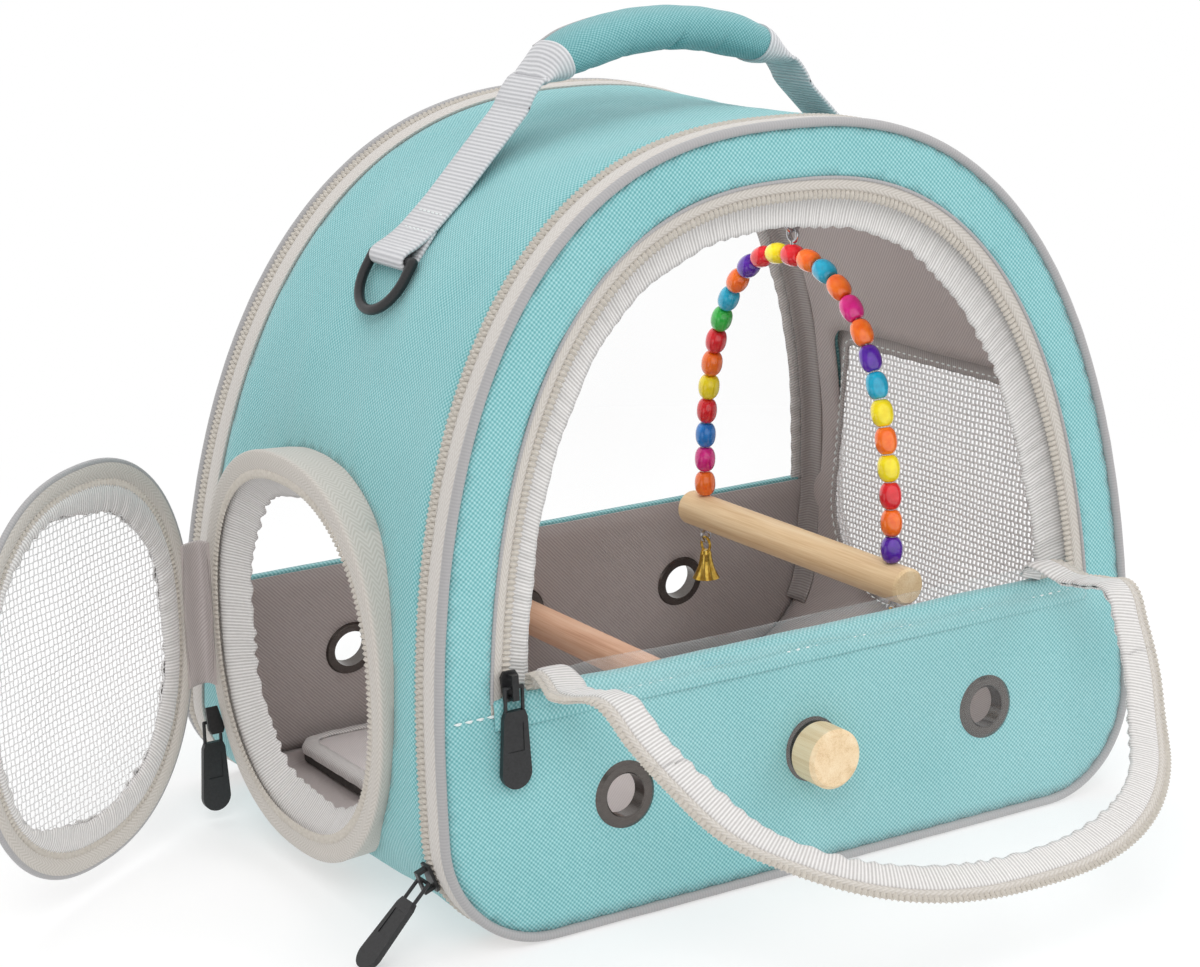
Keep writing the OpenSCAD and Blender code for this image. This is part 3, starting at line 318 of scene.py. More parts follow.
def inside(points, ring):
    """True where a point lies in a closed outline: it has an odd number of edges on its right."""
    x, y = points[:, :1], points[:, 1:]
    (x1, y1), (x2, y2) = ring.T, np.roll(ring, -1, 0).T
    cross = (y1 > y) != (y2 > y)
    with np.errstate(divide="ignore", invalid="ignore"):
        at = x1 + (y - y1) * (x2 - x1) / (y2 - y1)
    return (cross & (x < at)).sum(1) % 2 == 1


def cut_cloth(outline, holes, step):
    """A flat cut: the outline and holes as exact edges, filled with triangles on a staggered grid."""
    rings = [outline, *holes]
    edge = np.concatenate(rings)
    edges, base = [], 0
    for ring in rings:
        edges += [(base + i, base + (i + 1) % len(ring)) for i in range(len(ring))]
        base += len(ring)
    low, high = outline.min(0), outline.max(0)
    y = np.arange(low[1] + step / 2, high[1], step * 0.87)
    x = np.arange(low[0] + step / 4, high[0], step)
    gx, gy = np.meshgrid(x, y)
    gx = gx + (np.arange(len(y)) % 2)[:, None] * step / 2
    fill = np.c_[gx.ravel(), gy.ravel()]
    keep = inside(fill, outline)
    for hole in holes:
        keep &= ~inside(fill, hole)
    fill = fill[keep]
    near = np.array([np.abs(edge - f).max(1).min() for f in fill]) if len(fill) else np.zeros(0)
    fill = fill[near > step * 0.55]
    points = [Vector(p) for p in np.r_[edge, fill].tolist()]
    out = delaunay_2d_cdt(points, edges, [], 0, 1e-7)
    points = np.array([list(v) for v in out[0]])
    tris = np.array(out[2])
    mid = points[tris].mean(1)
    keep = inside(mid, outline)
    for hole in holes:
        keep &= ~inside(mid, hole)
    tris = tris[keep]
    a, b, c = (points[tris[:, k]] for k in range(3))
    turned = (b - a)[:, 0] * (c - a)[:, 1] - (b - a)[:, 1] * (c - a)[:, 0] < 0
    tris[turned] = tris[turned][:, ::-1]
    return points, tris


def strewn(path, side, up, at, local):
    """Copies of one small closed form, given as a grid, set down along a path at walked distances."""
    one = outwards(grid(local, ring=True, cap=True))
    walked = run_length(path)
    base, across, lift = (along(at, walked, v) for v in (path, side, up))
    ahead = np.cross(across, lift)
    local = one["p"]
    p = (
        base[:, None]
        + local[None, :, :1] * across[:, None]
        + local[None, :, 1:2] * lift[:, None]
        + local[None, :, 2:] * ahead[:, None]
    )
    step = np.arange(len(at))[:, None, None] * len(local)
    faces = [(f[None] + step).reshape(-1, f.shape[1]) for f in one["f"]]
    return shell(p.reshape(-1, 3), faces, [np.zeros((*f.shape, 2)) for f in faces])


def teeth(path, side, up, width, height, shift=0.0):
    """Coil loops of a zip: at each pitch a half hoop of wire over the width, of twenty small faces."""
    at = np.arange(TOOTH_PITCH * (0.5 + shift), run_length(path)[-1] - TOOTH_PITCH * 0.3, TOOTH_PITCH)
    a = np.linspace(0, np.pi, 6)
    wire = TOOTH_PITCH * 0.4
    hoop = np.c_[-np.cos(a) * width / 2, np.sin(a) ** 0.7 * (height - wire)]
    out = np.c_[-np.cos(a), np.sin(a) + 0.2]
    out /= np.linalg.norm(out, axis=1)[:, None]
    corner = np.array([[1, 0], [0, 1], [-1, 0], [0, -1]]) * wire
    local = [
        hoop[:, None, 0] + corner[None, :, 1] * out[:, None, 0],
        hoop[:, None, 1] + corner[None, :, 1] * out[:, None, 1],
        np.broadcast_to(corner[None, :, 0] * 1.15, (6, 4)),
    ]
    return strewn(path, side, up, at, np.stack(local, -1))


def both_faces(path, side, up):
    """Coil loops on both faces of a tape, half a pitch apart."""
    near = teeth(path, side, up, width=2.5, height=1.2)
    far = teeth(path, side, -up, width=2.5, height=1.2, shift=0.5)
    return joined([near, far])


def stitches(path, side, up, length, gap, width, height):
    """A row of lock stitches: short flat lenses with pointed ends, sunk a little at both."""
    at = np.arange(length, run_length(path)[-1] - length / 2, length + gap)
    row = np.linspace(-1, 1, 4)
    high = (1 - row**2) ** 0.5
    k = np.linspace(0, 2 * np.pi, 6)[:-1]
    local = [
        np.outer(0.25 + 0.75 * high, np.cos(k)) * width,
        (np.outer(0.25 + 0.75 * high, np.sin(k)) + high[:, None] - 0.6) * height,
        np.broadcast_to(row[:, None] * length / 2, (4, 5)),
    ]
    return strewn(path, side, up, at, np.stack(local, -1))


# ---- making pieces ----


def mesh_object(name, s, material):
    """One mesh object at the origin from a shell, with its cloth coordinates in metres."""
    faces = [row for f in s["f"] for row in f.tolist()]
    mesh = bpy.data.meshes.new(name)
    mesh.from_pydata((s["p"] / 1000).tolist(), [], faces)
    flat = np.concatenate([c.reshape(-1, 2) for c in s["c"]]) / 1000
    mesh.uv_layers.new(name="cut").data.foreach_set("uv", flat.astype(np.float32).ravel())
    mesh.polygons.foreach_set("use_smooth", np.ones(len(faces), bool))
    mesh.set_sharp_from_angle(angle=np.radians(50))
    mesh.materials.append(material)
    obj = bpy.data.objects.new(name, mesh)
    bpy.context.scene.collection.objects.link(obj)
    return obj


def bake(obj):
    """Applies an object's modifiers to its mesh."""
    bpy.context.view_layer.update()
    done = obj.evaluated_get(bpy.context.evaluated_depsgraph_get())
    mesh = bpy.data.meshes.new_from_object(done)
    obj.modifiers.clear()
    obj.data = mesh
    return obj


def thicken(obj, thick):
    """Gives a sheet its thickness, behind its face."""
    m = obj.modifiers.new("thickness", "SOLIDIFY")
    m.thickness, m.offset, m.use_rim = thick / 1000, -1, True
    return bake(obj)


def laid(points, flat, tris, turn=False):
    """A flat cut with its points laid on their form; turn gives its faces the other side."""
    tris = tris[:, ::-1] if turn else tris
    return shell(points, [tris], [flat[tris]])


def padded(name, s, material, body, node):
    """A piece for a foam-padded part, standing for one CAD node."""
    obj = piece(name, s, material, body, [node])


def piece(name, s, material, body="carrier", nodes=(), thick=0.0, merge=False):
    """A finished piece: mesh, thickness, the body that it rides on and the CAD nodes that it stands for."""
    obj = mesh_object(name, s, material)
    if merge:
        b = bmesh.new()
        b.from_mesh(obj.data)
        bmesh.ops.remove_doubles(b, verts=b.verts, dist=1e-5)
        b.to_mesh(obj.data)
        b.free()
    if thick:
        thicken(obj, thick)
    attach(obj, body)
    if nodes:
        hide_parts(*nodes)
    return obj


# ---- materials ----


def colour(code):
    """sRGB hex to the linear colour that a shader takes."""
    c = np.array([int(code[i : i + 2], 16) for i in (1, 3, 5)]) / 255
    c = np.where(c <= 0.04045, c / 12.92, ((c + 0.055) / 1.055) ** 2.4)
    return (*c.tolist(), 1.0)


def add(tree, kind, sockets=None, out=0, stops=(), **settings):
    """Adds a node, sets its properties, then sets or links its inputs; gives one of its outputs.

    stops are the pairs of place and sRGB hex of a colour ramp, in order.
    """
    n = tree.nodes.new("ShaderNode" + kind)
    for key, value in settings.items():
        setattr(n, key, value)
    for key, value in (sockets or {}).items():
        if isinstance(value, bpy.types.NodeSocket):
            tree.links.new(value, n.inputs[key])
        else:
            n.inputs[key].default_value = value
    if stops:
        elements = n.color_ramp.elements
        for element, (place, code) in zip(elements, (stops[0], stops[-1])):
            element.position, element.color = place, colour(code)
        for place, code in stops[1:-1]:
            elements.new(place).color = colour(code)
    return n if out is None or not len(n.outputs) else n.outputs[out]


def finish(name, draw, **plain):
    """A material: draw adds the pattern and gives linked sockets, plain holds values set on the shader."""
    m = bpy.data.materials.new(name)
    m.use_nodes = True
    tree = m.node_tree
    tree.nodes.clear()
    linked = draw(tree)
    named = {
        "rough": "Roughness",
        "metal": "Metallic",
        "sheen": "Sheen Weight",
        "sheen_rough": "Sheen Roughness",
        "gloss": "Specular IOR Level",
        "coat": "Coat Weight",
        "coat_rough": "Coat Roughness",
    }
    sockets = {named[k]: v for k, v in plain.items()}
    shader = add(tree, "BsdfPrincipled", {**sockets, **linked})
    add(tree, "OutputMaterial", {"Surface": shader})
    return m


def threads(tree, kind, pitch, run=1.0, width=9.0):
    """Height of a weave from 0 to 1 out of sines of the cloth coordinates, with a pitch in mm.

    plain: sine of the run times sine of the width. twill: sine of their sum. rib: sine of the
    run. fishbone: a twill whose width folds back and forth.
    """
    uv = add(tree, "UVMap", uv_map="cut")
    part = add(tree, "SeparateXYZ", {0: uv}, out=None)
    k = 2000 * np.pi / pitch
    u = add(tree, "Math", {0: part.outputs[0], 1: k * run}, operation="MULTIPLY")
    v = part.outputs[1]
    if kind == "fishbone":
        v = add(tree, "Math", {0: v, 1: width / 1000}, operation="PINGPONG")
    v = add(tree, "Math", {0: v, 1: k}, operation="MULTIPLY")
    if kind in ("twill", "fishbone"):
        u = add(tree, "Math", {0: u, 1: v}, operation="ADD")
    wave = add(tree, "Math", {0: u}, operation="SINE")
    if kind == "plain":
        other = add(tree, "Math", {0: v}, operation="SINE")
        wave = add(tree, "Math", {0: wave, 1: other}, operation="MULTIPLY")
    return add(tree, "Math", {0: wave, 1: 0.5, 2: 0.5}, operation="MULTIPLY_ADD")


def woven(
    name, dark, mid, light, kind, pitch, depth, rough=0.8, sheen=0.25, run=1.0, width=9.0, gloss=0.25
):
    """Woven cloth: the thread height paints shade in the gaps and light on the thread tops and raises the
    bump; fine noise breaks the yarns and a broad one varies the tone.
    """

    def draw(tree):
        place = add(tree, "TexCoord", out="Object")
        weave = threads(tree, kind, pitch, run, width)
        yarn = add(tree, "TexNoise", {"Vector": place, "Scale": 900.0, "Detail": 2.0}, out="Fac")
        cloud = add(tree, "TexNoise", {"Vector": place, "Scale": 14.0, "Detail": 2.0}, out="Fac")
        # Painted shade and light: the weave height darkens the gaps between threads and lightens their tops,
        # mixed with the yarn noise and the broad tone noise
        shade = add(tree, "Math", {0: weave, 1: 0.62}, operation="MULTIPLY")
        shade = add(tree, "Math", {0: yarn, 1: 0.22, 2: shade}, operation="MULTIPLY_ADD")
        shade = add(tree, "Math", {0: cloud, 1: 0.16, 2: shade}, operation="MULTIPLY_ADD")
        base = add(tree, "ValToRGB", {"Fac": shade}, stops=((0.12, dark), (0.5, mid), (0.88, light)))
        height = add(tree, "Math", {0: yarn, 1: 0.35, 2: weave}, operation="MULTIPLY_ADD")
        bump = {"Height": height, "Distance": depth / 1000, "Strength": 0.8}
        return {"Base Color": base, "Normal": add(tree, "Bump", bump, out="Normal")}

    return finish(name, draw, rough=rough, sheen=sheen, sheen_rough=0.4, gloss=gloss)


def grained(name, low, high, scale, depth, stretch=(1, 1, 1), **plain):
    """A finish shaded and roughened by one noise of a size in mm, stretched along its grain."""

    def draw(tree):
        place = add(tree, "TexCoord", out="Object")
        place = add(tree, "Mapping", {"Vector": place, "Scale": stretch})
        grain = add(tree, "TexNoise", {"Vector": place, "Scale": 1000 / scale, "Detail": 3.0}, out="Fac")
        base = add(tree, "ValToRGB", {"Fac": grain}, stops=((0.3, low), (0.7, high)))
        bump = {"Height": grain, "Distance": depth / 1000, "Strength": 0.6}
        return {"Base Color": base, "Normal": add(tree, "Bump", bump, out="Normal")}

    return finish(name, draw, **plain)


def wooden(name, dark, mid, light):
    """Turned wood: long pores and year rings along Y, both stretched noise, with a dull sanded face."""

    def draw(tree):
        place = add(tree, "TexCoord", out="Object")
        ring = add(tree, "Mapping", {"Vector": place, "Scale": (1.0, 0.05, 1.0), "Rotation": (0, 0.4, 0)})
        bands = {"Vector": ring, "Scale": 190.0, "Detail": 2.0, "Distortion": 0.6}
        bands = add(tree, "TexNoise", bands, out="Fac")
        fine = add(tree, "Mapping", {"Vector": place, "Scale": (1.0, 0.025, 1.0)})
        pores = add(tree, "TexNoise", {"Vector": fine, "Scale": 1500.0, "Detail": 3.0}, out="Fac")
        both = add(tree, "Math", {0: pores, 1: 0.45}, operation="MULTIPLY")
        both = add(tree, "Math", {0: bands, 1: 0.6, 2: both}, operation="MULTIPLY_ADD")
        base = add(tree, "ValToRGB", {"Fac": both}, stops=((0.3, dark), (0.52, mid), (0.75, light)))
        bump = {"Height": pores, "Distance": 0.00012, "Strength": 0.6}
        return {"Base Color": base, "Normal": add(tree, "Bump", bump, out="Normal")}

    return finish(name, draw, rough=0.56, gloss=0.35)


# 600 denier polyester canvas, plain weave, coated at the back: a fine chequer of painted light on the thread
# tops and painted shade between them.
# The thread pitch is near 0.8 mm; it is drawn at 1.8 mm so that it shows.
canvas = woven("polyester_canvas", "#579A9E", "#84BDC0", "#B2DBDD", "plain", 1.8, 0.3)
# The same cloth on the small sleeve of the grip, drawn finer where it is seen from closer and painted darker
# as shade.
shaded_sleeve_canvas = woven("polyester_canvas_sleeve", "#4D898D", "#6FA7AB", "#9BC7CA", "plain", 1.5, 0.24)
# Lining: dull grey-brown polyester twill, whose diagonal ribs run over the whole cabin.
twill = woven("lining_twill", "#A39A98", "#B4ABA9", "#C2BAB8", "twill", 1.6, 0.1, rough=0.9, gloss=0.15)
# Piping: coated tricot drawn over a cord; nearly smooth, so it carries one soft highlight.
tricot = woven("coated_piping", "#9B9A9B", "#A2A0A1", "#A8A6A6", "rib", 1.2, 0.015, rough=0.42, gloss=0.45)
# Zip tape: polyester herringbone of a warm pale grey.
tape = woven(
    "zip_tape_herringbone", "#B8B2AA", "#C4BEB7", "#CDC8C2", "fishbone", 1.3, 0.06, run=0.6, width=2.2
)
# Woven edge band beside the piping, a closer and plainer herringbone.
band = woven(
    "edge_band_herringbone", "#C0BAB4", "#C9C4BF", "#D1CDC8", "fishbone", 1.3, 0.04, run=0.6, width=2.1
)
# Gathered binding: silver-grey ribbed ribbon; the top of each rib is painted lighter, a painted highlight as
# a fine line.
ribbon = woven(
    "ribbed_binding", "#B3AFAD", "#D0CDCB", "#E8E6E4", "rib", 1.3, 0.18, rough=0.5, sheen=0.35, gloss=0.5
)
# The duller grey ribbon round the side net and along the rear seam.
grey_ribbon = woven("grey_binding", "#8F8987", "#A39D9B", "#B4AFAD", "rib", 1.3, 0.12, rough=0.65)
# Mat: brushed grey polyester over foam, in plain weave.
mat_cloth = woven("mat_cloth", "#C6BFBE", "#D3CDCC", "#DED9D8", "plain", 1.4, 0.1, rough=0.9)
# Polypropylene webbing: cross ribs 1.6 mm apart, slightly glossy, their tops painted lighter as a highlight.
webbing = woven("ribbed_webbing", "#B0B0B3", "#C8C8CB", "#DADADC", "rib", 1.6, 0.3, rough=0.55, gloss=0.4)
# Zip coil: bent nylon monofilament, pale and a little translucent, with small highlights.
nylon = grained("zip_coil_nylon", "#B9B2A8", "#C9C3BA", 1.2, 0.02, rough=0.38, gloss=0.5)
# Sewing thread, white polyester, twisted.
thread = grained("white_thread", "#D5DEDD", "#F1F4F3", 0.5, 0.03, rough=0.7, sheen=0.2)
# Thread of the edge bands, in the colour of their cloth.
band_thread = grained("pale_grey_thread", "#BAB5AF", "#CDC9C4", 0.5, 0.03, rough=0.7, sheen=0.2)
# Net cords: white polyester monofilament, dull.
net_cord = grained("white_net_cord", "#D4D3D3", "#E8E7E7", 1.0, 0.02, rough=0.6)
# Zip sliders, pulls and rings: black enamelled zinc and steel, a soft broad gloss on the edges.
enamel = grained("black_enamel", "#141415", "#232325", 0.9, 0.03, rough=0.4, gloss=0.5)
# Eyelets: rolled brass plated gunmetal, dark and smooth with faint rub marks.
gunmetal = grained(
    "gunmetal_plate", "#5C5754", "#67625F", 2.0, 0.006, stretch=(1, 1, 4), metal=1.0, rough=0.27
)
# Hook, wire and screw eyes: bright drawn steel, with fine marks along its length.
steel = grained("bright_steel_wire", "#B5B5B8", "#DADADC", 0.6, 0.01, metal=1.0, rough=0.22)
# Bells: thin pressed brass, polished.
brass = grained("polished_brass", "#C79A33", "#EBCB6A", 2.5, 0.02, metal=1.0, rough=0.2)
# Turned beech caps and swing dowel, pale; the rod inside is a redder softwood.
beech = wooden("turned_beech", "#D3B084", "#E8CBA1", "#F3DDBB")
redwood = wooden("turned_softwood", "#C39173", "#DBAE90", "#E8C3A7")
# Cover of the base board: black-grey nonwoven, barely seen.
board_cover = grained("board_cover", "#3D3A38", "#4E4A48", 1.5, 0.08, rough=0.95)


def clear_film():
    """Clear vinyl sheet: nearly see-through, hazier where a broad noise thickens it, with a painted whitish
    reflection at a slant.
    """

    def draw(tree):
        place = add(tree, "TexCoord", out="Object")
        cloud = add(tree, "TexNoise", {"Vector": place, "Scale": 16.0, "Detail": 2.0}, out="Fac")
        ripple = add(tree, "Mapping", {"Vector": place, "Scale": (1.0, 3.0, 3.0)})
        ripple = add(tree, "TexNoise", {"Vector": ripple, "Scale": 9.0, "Detail": 1.0}, out="Fac")
        graze = add(tree, "LayerWeight", {"Blend": 0.25}, out="Facing")
        haze_and_slant_reflection = add(tree, "Math", {0: cloud, 1: 0.06, 2: -0.01}, operation="MULTIPLY_ADD")
        # Painted reflection: more of the whitish base shows at a slant, on top of the noise haze
        haze_and_slant_reflection = add(tree, "Math", {0: graze, 1: 0.16, 2: haze_and_slant_reflection}, operation="MULTIPLY_ADD")
        base = add(tree, "ValToRGB", {"Fac": cloud}, stops=((0.3, "#D5E2E6"), (0.7, "#E6EFF1")))
        bump = {"Height": ripple, "Distance": 0.003, "Strength": 0.35}
        return {"Base Color": base, "Alpha": haze_and_slant_reflection, "Normal": add(tree, "Bump", bump, out="Normal")}

    return finish("clear_vinyl_film", draw, rough=0.06, gloss=0.9)


film = clear_film()

BEAD_SHADES = {
    "orange": ("#F2600C", "#FF7D1C"),
    "pink": ("#D10A76", "#E62492"),
    "blue": ("#0C6EC2", "#1A88DE"),
    "red": ("#D40D1B", "#EA1F2E"),
    "yellow": ("#F2D800", "#FCE91C"),
    "green": ("#1FAA37", "#39C44F"),
    "teal": ("#0A99BC", "#1BB5D8"),
    "violet": ("#451094", "#5E20AC"),
}
# Beads: wood turned, dyed and lacquered; the lacquer gives each one a small hard highlight.
bead_paint = {
    name: grained("lacquered_bead_" + name, low, high, 3.0, 0.015, rough=0.22, coat=1.0, coat_rough=0.03)
    for name, (low, high) in BEAD_SHADES.items()
}

# ---- canvas wall and its lining ----


def wall_cloth(inset, lift, depth, door_shrink, net_shrink, step):
    """The wall unrolled: run along the arch across, Y up, cut to both leaning ends, with its two holes."""
    line = dense_arch(inset, lift)
    walked = run_length(line)
    half = slice(1, len(line) // 2 + 1)
    total = walked[-1]
    at = np.linspace(0, total, int(total / step) + 1)
    z = np.interp(at, walked, line[:, 1])
    low, high = front(0, z, depth)[:, 1], rear(0, z, depth)[:, 1]
    last_side = even(np.c_[[total] * 2, [low[-1], high[-1]]], step)[1:-1]
    first_side = even(np.c_[[0] * 2, [high[0], low[0]]], step)[1:-1]
    outline = np.r_[np.c_[at, low], last_side, np.c_[at, high][::-1], first_side]
    door, net = oval(door_shrink, step), net_outline(net_shrink, step)
    door = np.c_[total - np.interp(door[:, 1], line[half, 1], walked[half]), door[:, 0]]
    net = np.c_[np.interp(net[:, 1], line[half, 1], walked[half]), net[:, 0]]
    flat, tris = cut_cloth(outline, [door, net], step)
    xz = along(flat[:, 0], walked, line)
    way = np.gradient(line, axis=0)
    way /= np.linalg.norm(way, axis=1)[:, None] + 1e-12
    way = along(flat[:, 0], walked, way)
    out = np.c_[way[:, 1], -way[:, 0]]
    out /= np.linalg.norm(out, axis=1)[:, None]
    y0, y1 = front(0, xz[:, 1], depth)[:, 1], rear(0, xz[:, 1], depth)[:, 1]
    return flat, tris, xz, out, np.clip((flat[:, 1] - y0) / (y1 - y0), 0, 1), y1 - y0


def net_outline(shrink, step):
    """Outline of the net opening in Y and Z: big corners below, small ones above, a leaning rear edge."""
    r, top, lean = NET_ROUND, NET_TIGHT, np.tan(REAR_LEAN)
    corners = [
        (NET_REAR + (NET_MID - NET_LOW - r) * lean - r, NET_LOW + r, r - shrink, -90),
        (NET_REAR + (NET_MID - NET_TOP + top) * lean - top, NET_TOP - top, top - shrink, 0),
        (NET_FRONT + top, NET_TOP - top, top - shrink, 90),
        (NET_FRONT + r, NET_LOW + r, r - shrink, 180),
    ]
    return cornered(corners, 13, step)


def cornered(corners, count, step):
    """Closed outline of quarter arcs: each has its centre, its radius and its first angle in degrees."""
    a = np.radians(np.linspace(0, 90, count))
    arcs = []
    for x, y, radius, first in corners:
        turned = a + np.radians(first)
        arcs.append(np.c_[x + radius * np.cos(turned), y + radius * np.sin(turned)])
    return even(np.concatenate(arcs), step, closed=True)


def wall_height(flat, xz, v, long, seed):
    """Cloth off its form: drawn in at both ends, sagging on the roof, fuller at the sides, in soft folds."""
    edge = np.minimum(v, 1 - v) * long
    roof = smooth((86 - np.abs(xz[:, 0])) / 50) * (xz[:, 1] > 200)
    side = (1 - roof) * smooth((xz[:, 1] - 30) / 40)
    bow = np.sin(np.pi * v)
    p = np.c_[flat[:, 0], flat[:, 1] * 1.6]
    return (
        -1.1 * np.exp(-((edge / 2.6) ** 2))
        - 1.8 * roof * bow
        + 0.7 * side * bow
        + (0.55 * waves(p, 95, seed) + 0.16 * waves(p, 30, seed + 1)) * smooth(edge / 22)
    )


flat, tris, xz, out, v, long = wall_cloth(
    inset=WALL_INSET, lift=0.0, depth=WALL_START, door_shrink=2.6, net_shrink=-0.4, step=4.4
)
lifted = xz + out * wall_height(flat, xz, v, long, 3)[:, None]
lifted[:, 1] = np.maximum(lifted[:, 1], 0.05)
wall = laid(np.c_[lifted[:, 0], flat[:, 1], lifted[:, 1]], flat, tris, turn=True)
panel = piece("canvas_wall", wall, canvas, nodes=["gusset_shell"], thick=1.4, merge=True)

flat, tris, xz, out, v, long = wall_cloth(
    inset=5.4, lift=4.2, depth=5.6, door_shrink=8.6, net_shrink=1.8, step=5.0
)
inner = np.clip((v * long - 13) / (long - 26), 0, 1)
height = wall_height(flat, xz, inner, long, 3) + 0.25 * waves(flat, 45, 8)
lifted = xz + out * np.minimum(height, 1.5)[:, None]
lifted[:, 1] = np.maximum(lifted[:, 1], 3.8)
lining = laid(np.c_[lifted[:, 0], flat[:, 1], lifted[:, 1]], flat, tris)
nodes = ["gusset_lining"]
panel = piece("cabin_lining", lining, twill, nodes=nodes, thick=0.7, merge=True)

# ---- ends of the cabin: piping, bands and zip chains ----


def end_ring(place, insets, depths, step, above=None, drop=0.4):
    """Rows of points round an end: each column has its inset from the arch and its depth in the end."""
    stations = arch_stations(step, 3.6, 3.6, above)
    if above is None:
        stations = stations[:-1]
    columns = []
    for inset, depth in zip(insets, depths):
        xz = arch_at(stations, inset, max(inset - drop, 0))
        columns.append(place(xz[:, 0], xz[:, 1], depth))
    return np.stack(columns, 1)


def end_axes(place, inset, lift, depth, step, above=None):
    """Path round an end with its directions inwards in the end plane and outwards from the cabin wall."""
    stations = arch_stations(step, inset, lift, above)
    line = arch_at(stations, inset, lift)
    n = inward(line[:-1]) if above is None else inward(line, closed=False)
    n = closed_path(n) if above is None else n
    path = place(line[:, 0], line[:, 1], depth)
    lean = np.tan(FRONT_LEAN) if place is front else -np.tan(REAR_LEAN)
    radial = np.stack([n[:, 0], n[:, 1] * lean, n[:, 1]], 1)
    radial /= np.linalg.norm(radial, axis=1)[:, None]
    ahead = tangents(path)
    through = np.cross(ahead, radial)
    through *= np.sign(through[:1, 1]) * (1 if place is front else -1)
    return path, radial, through


PIPING_INSET, PIPING_DEPTH = 1.85, 1.9
for end, place, band_run, chain_mid in (
    ("front", front, (3.4, 12.1), 15.1),
    ("rear", rear, (9.6, 18.2), 6.6),
):
    path, radial, through = end_axes(place, PIPING_INSET, PIPING_INSET, PIPING_DEPTH, 3.0)
    swell = 1 + 0.02 * waves(path, 14, 5)[:, None, None]
    profile = circle(1.8, 2.05, 14) * swell[:-1]
    cord = swept(path[:-1], radial[:-1], through[:-1], profile, loop=True)
    cord["p"][:, 2] = np.maximum(cord["p"][:, 2], 0.05)
    piece(end + "_piping_cover", cord, tricot, nodes=[end + "_piping"])

    near, far = band_run
    mid = (near + far) / 2
    insets = np.array([2.6, 1.0, 0.5, 0.42, 0.4, 0.45, 0.6, 1.1, 2.6])
    depths = np.array([near, near + 0.2, near + 1.1, mid - 1.6, mid, mid + 1.6, far - 1.1, far - 0.2, far])
    rows = end_ring(place, insets, depths, 3.0)
    strip = grid(rows, loop=True, turn=place is front)
    piece(end + "_edge_band", strip, band, nodes=[end + "_band"], thick=0.9)

    depths = chain_mid + np.array([-3.2, -2.2, 2.2, 3.4])
    rows = end_ring(place, [1.6, 1.3, 1.3, 1.6], depths, 3.0)
    strip = grid(rows, loop=True, turn=place is front)
    piece(end + "_zip_tapes", strip, tape, thick=0.8)
    rows_of_teeth = []
    for shift, depth in ((0.0, chain_mid - 1.0), (0.5, chain_mid + 1.0)):
        path, radial, through = end_axes(place, 1.35, 0.95, depth, 2.0)
        rows_of_teeth.append(teeth(path, through, -radial, width=2.7, height=1.25, shift=shift))
    piece(end + "_zip_teeth", joined(rows_of_teeth), nylon, nodes=[end + "_zip_chain"])
    seam_depth = far - 1.2 if place is front else near + 1.2
    path, radial, through = end_axes(place, 0.55, 0.15, seam_depth, 3.0)
    sewn = stitches(path, through, -radial, length=2.4, gap=1.0, width=0.28, height=0.2)
    piece(end + "_band_stitches", sewn, band_thread)

# ---- front panel ----


def front_face(x, z):
    """Depth of the front canvas: drawn in beside the piping, with soft folds."""
    line = even(dense_arch(3.6, 3.6), 6.0)
    edge = np.array([np.hypot(line[:, 0] - a, line[:, 1] - b).min() for a, b in zip(x, z)])
    p = np.c_[x, z]
    soft = (0.5 * waves(p, 110, 21) + 0.12 * waves(p, 34, 22)) * smooth(edge / 18)
    return 1.0 + 1.3 * np.exp(-((edge / 3.2) ** 2)) - 0.5 * smooth(edge / 25) + soft


def eyelet_rings(lean):
    """Round holes for the three eyelets, in the X and Z of a leaning end, in steps near 2 mm."""
    a = np.linspace(0, 2 * np.pi, int(2 * np.pi * EYELET_HOLE / 2.0) + 1)[:-1]
    x, z = EYELET_HOLE * np.cos(a), EYELET_Z + EYELET_MID * np.sin(lean) + EYELET_HOLE * np.sin(a)
    return [np.c_[k * EYELET_PITCH + x, z] for k in (-1, 0, 1)]


def above_line(inset, z, step):
    """Closed outline of the arch above a height, with its straight lower edge."""
    stations = arch_stations(step, inset, inset, z)
    line = arch_at(stations, inset, inset)
    base = even(np.array([line[-1], line[0]]), step)[1:-1]
    return np.r_[line, base]


def below_line(inset, z, step):
    """Closed outline of the arch below a height, with its straight upper edge."""
    line = even(dense_arch(inset, inset)[:-1], step, closed=True)
    low = line[line[:, 1] < z - step * 0.3]
    half = arch_half(z, inset)
    split = np.argmax(np.diff(low[:, 0]) < -2 * step) + 1
    right, left = low[:split], low[split:]
    top = even(np.array([[half, z], [-half, z]]), step)
    return np.r_[right, top, left]


PANEL_INSET = 3.3
outline = even(dense_arch(PANEL_INSET, PANEL_INSET)[:-1], 4.0, closed=True)
eyelet_holes = eyelet_rings(FRONT_LEAN)
flat, tris = cut_cloth(outline, [above_line(22.0, HEM_Z, 4.0), *eyelet_holes], 4.0)
face = front(flat[:, 0], flat[:, 1], front_face(flat[:, 0], flat[:, 1]))
sheet = laid(face, flat, tris)
panel = piece("front_canvas", sheet, canvas, nodes=["front_panel"], thick=3.0)

flat, tris = cut_cloth(outline, [above_line(21.4, HEM_Z - 1, 5.0), *eyelet_holes], 5.0)
face = front(flat[:, 0], flat[:, 1], 5.3 + 0.3 * waves(flat, 70, 31))
sheet = laid(face, flat, tris, turn=True)
panel = piece("front_panel_back", sheet, twill, nodes=["front_panel_lining"], thick=0.7)

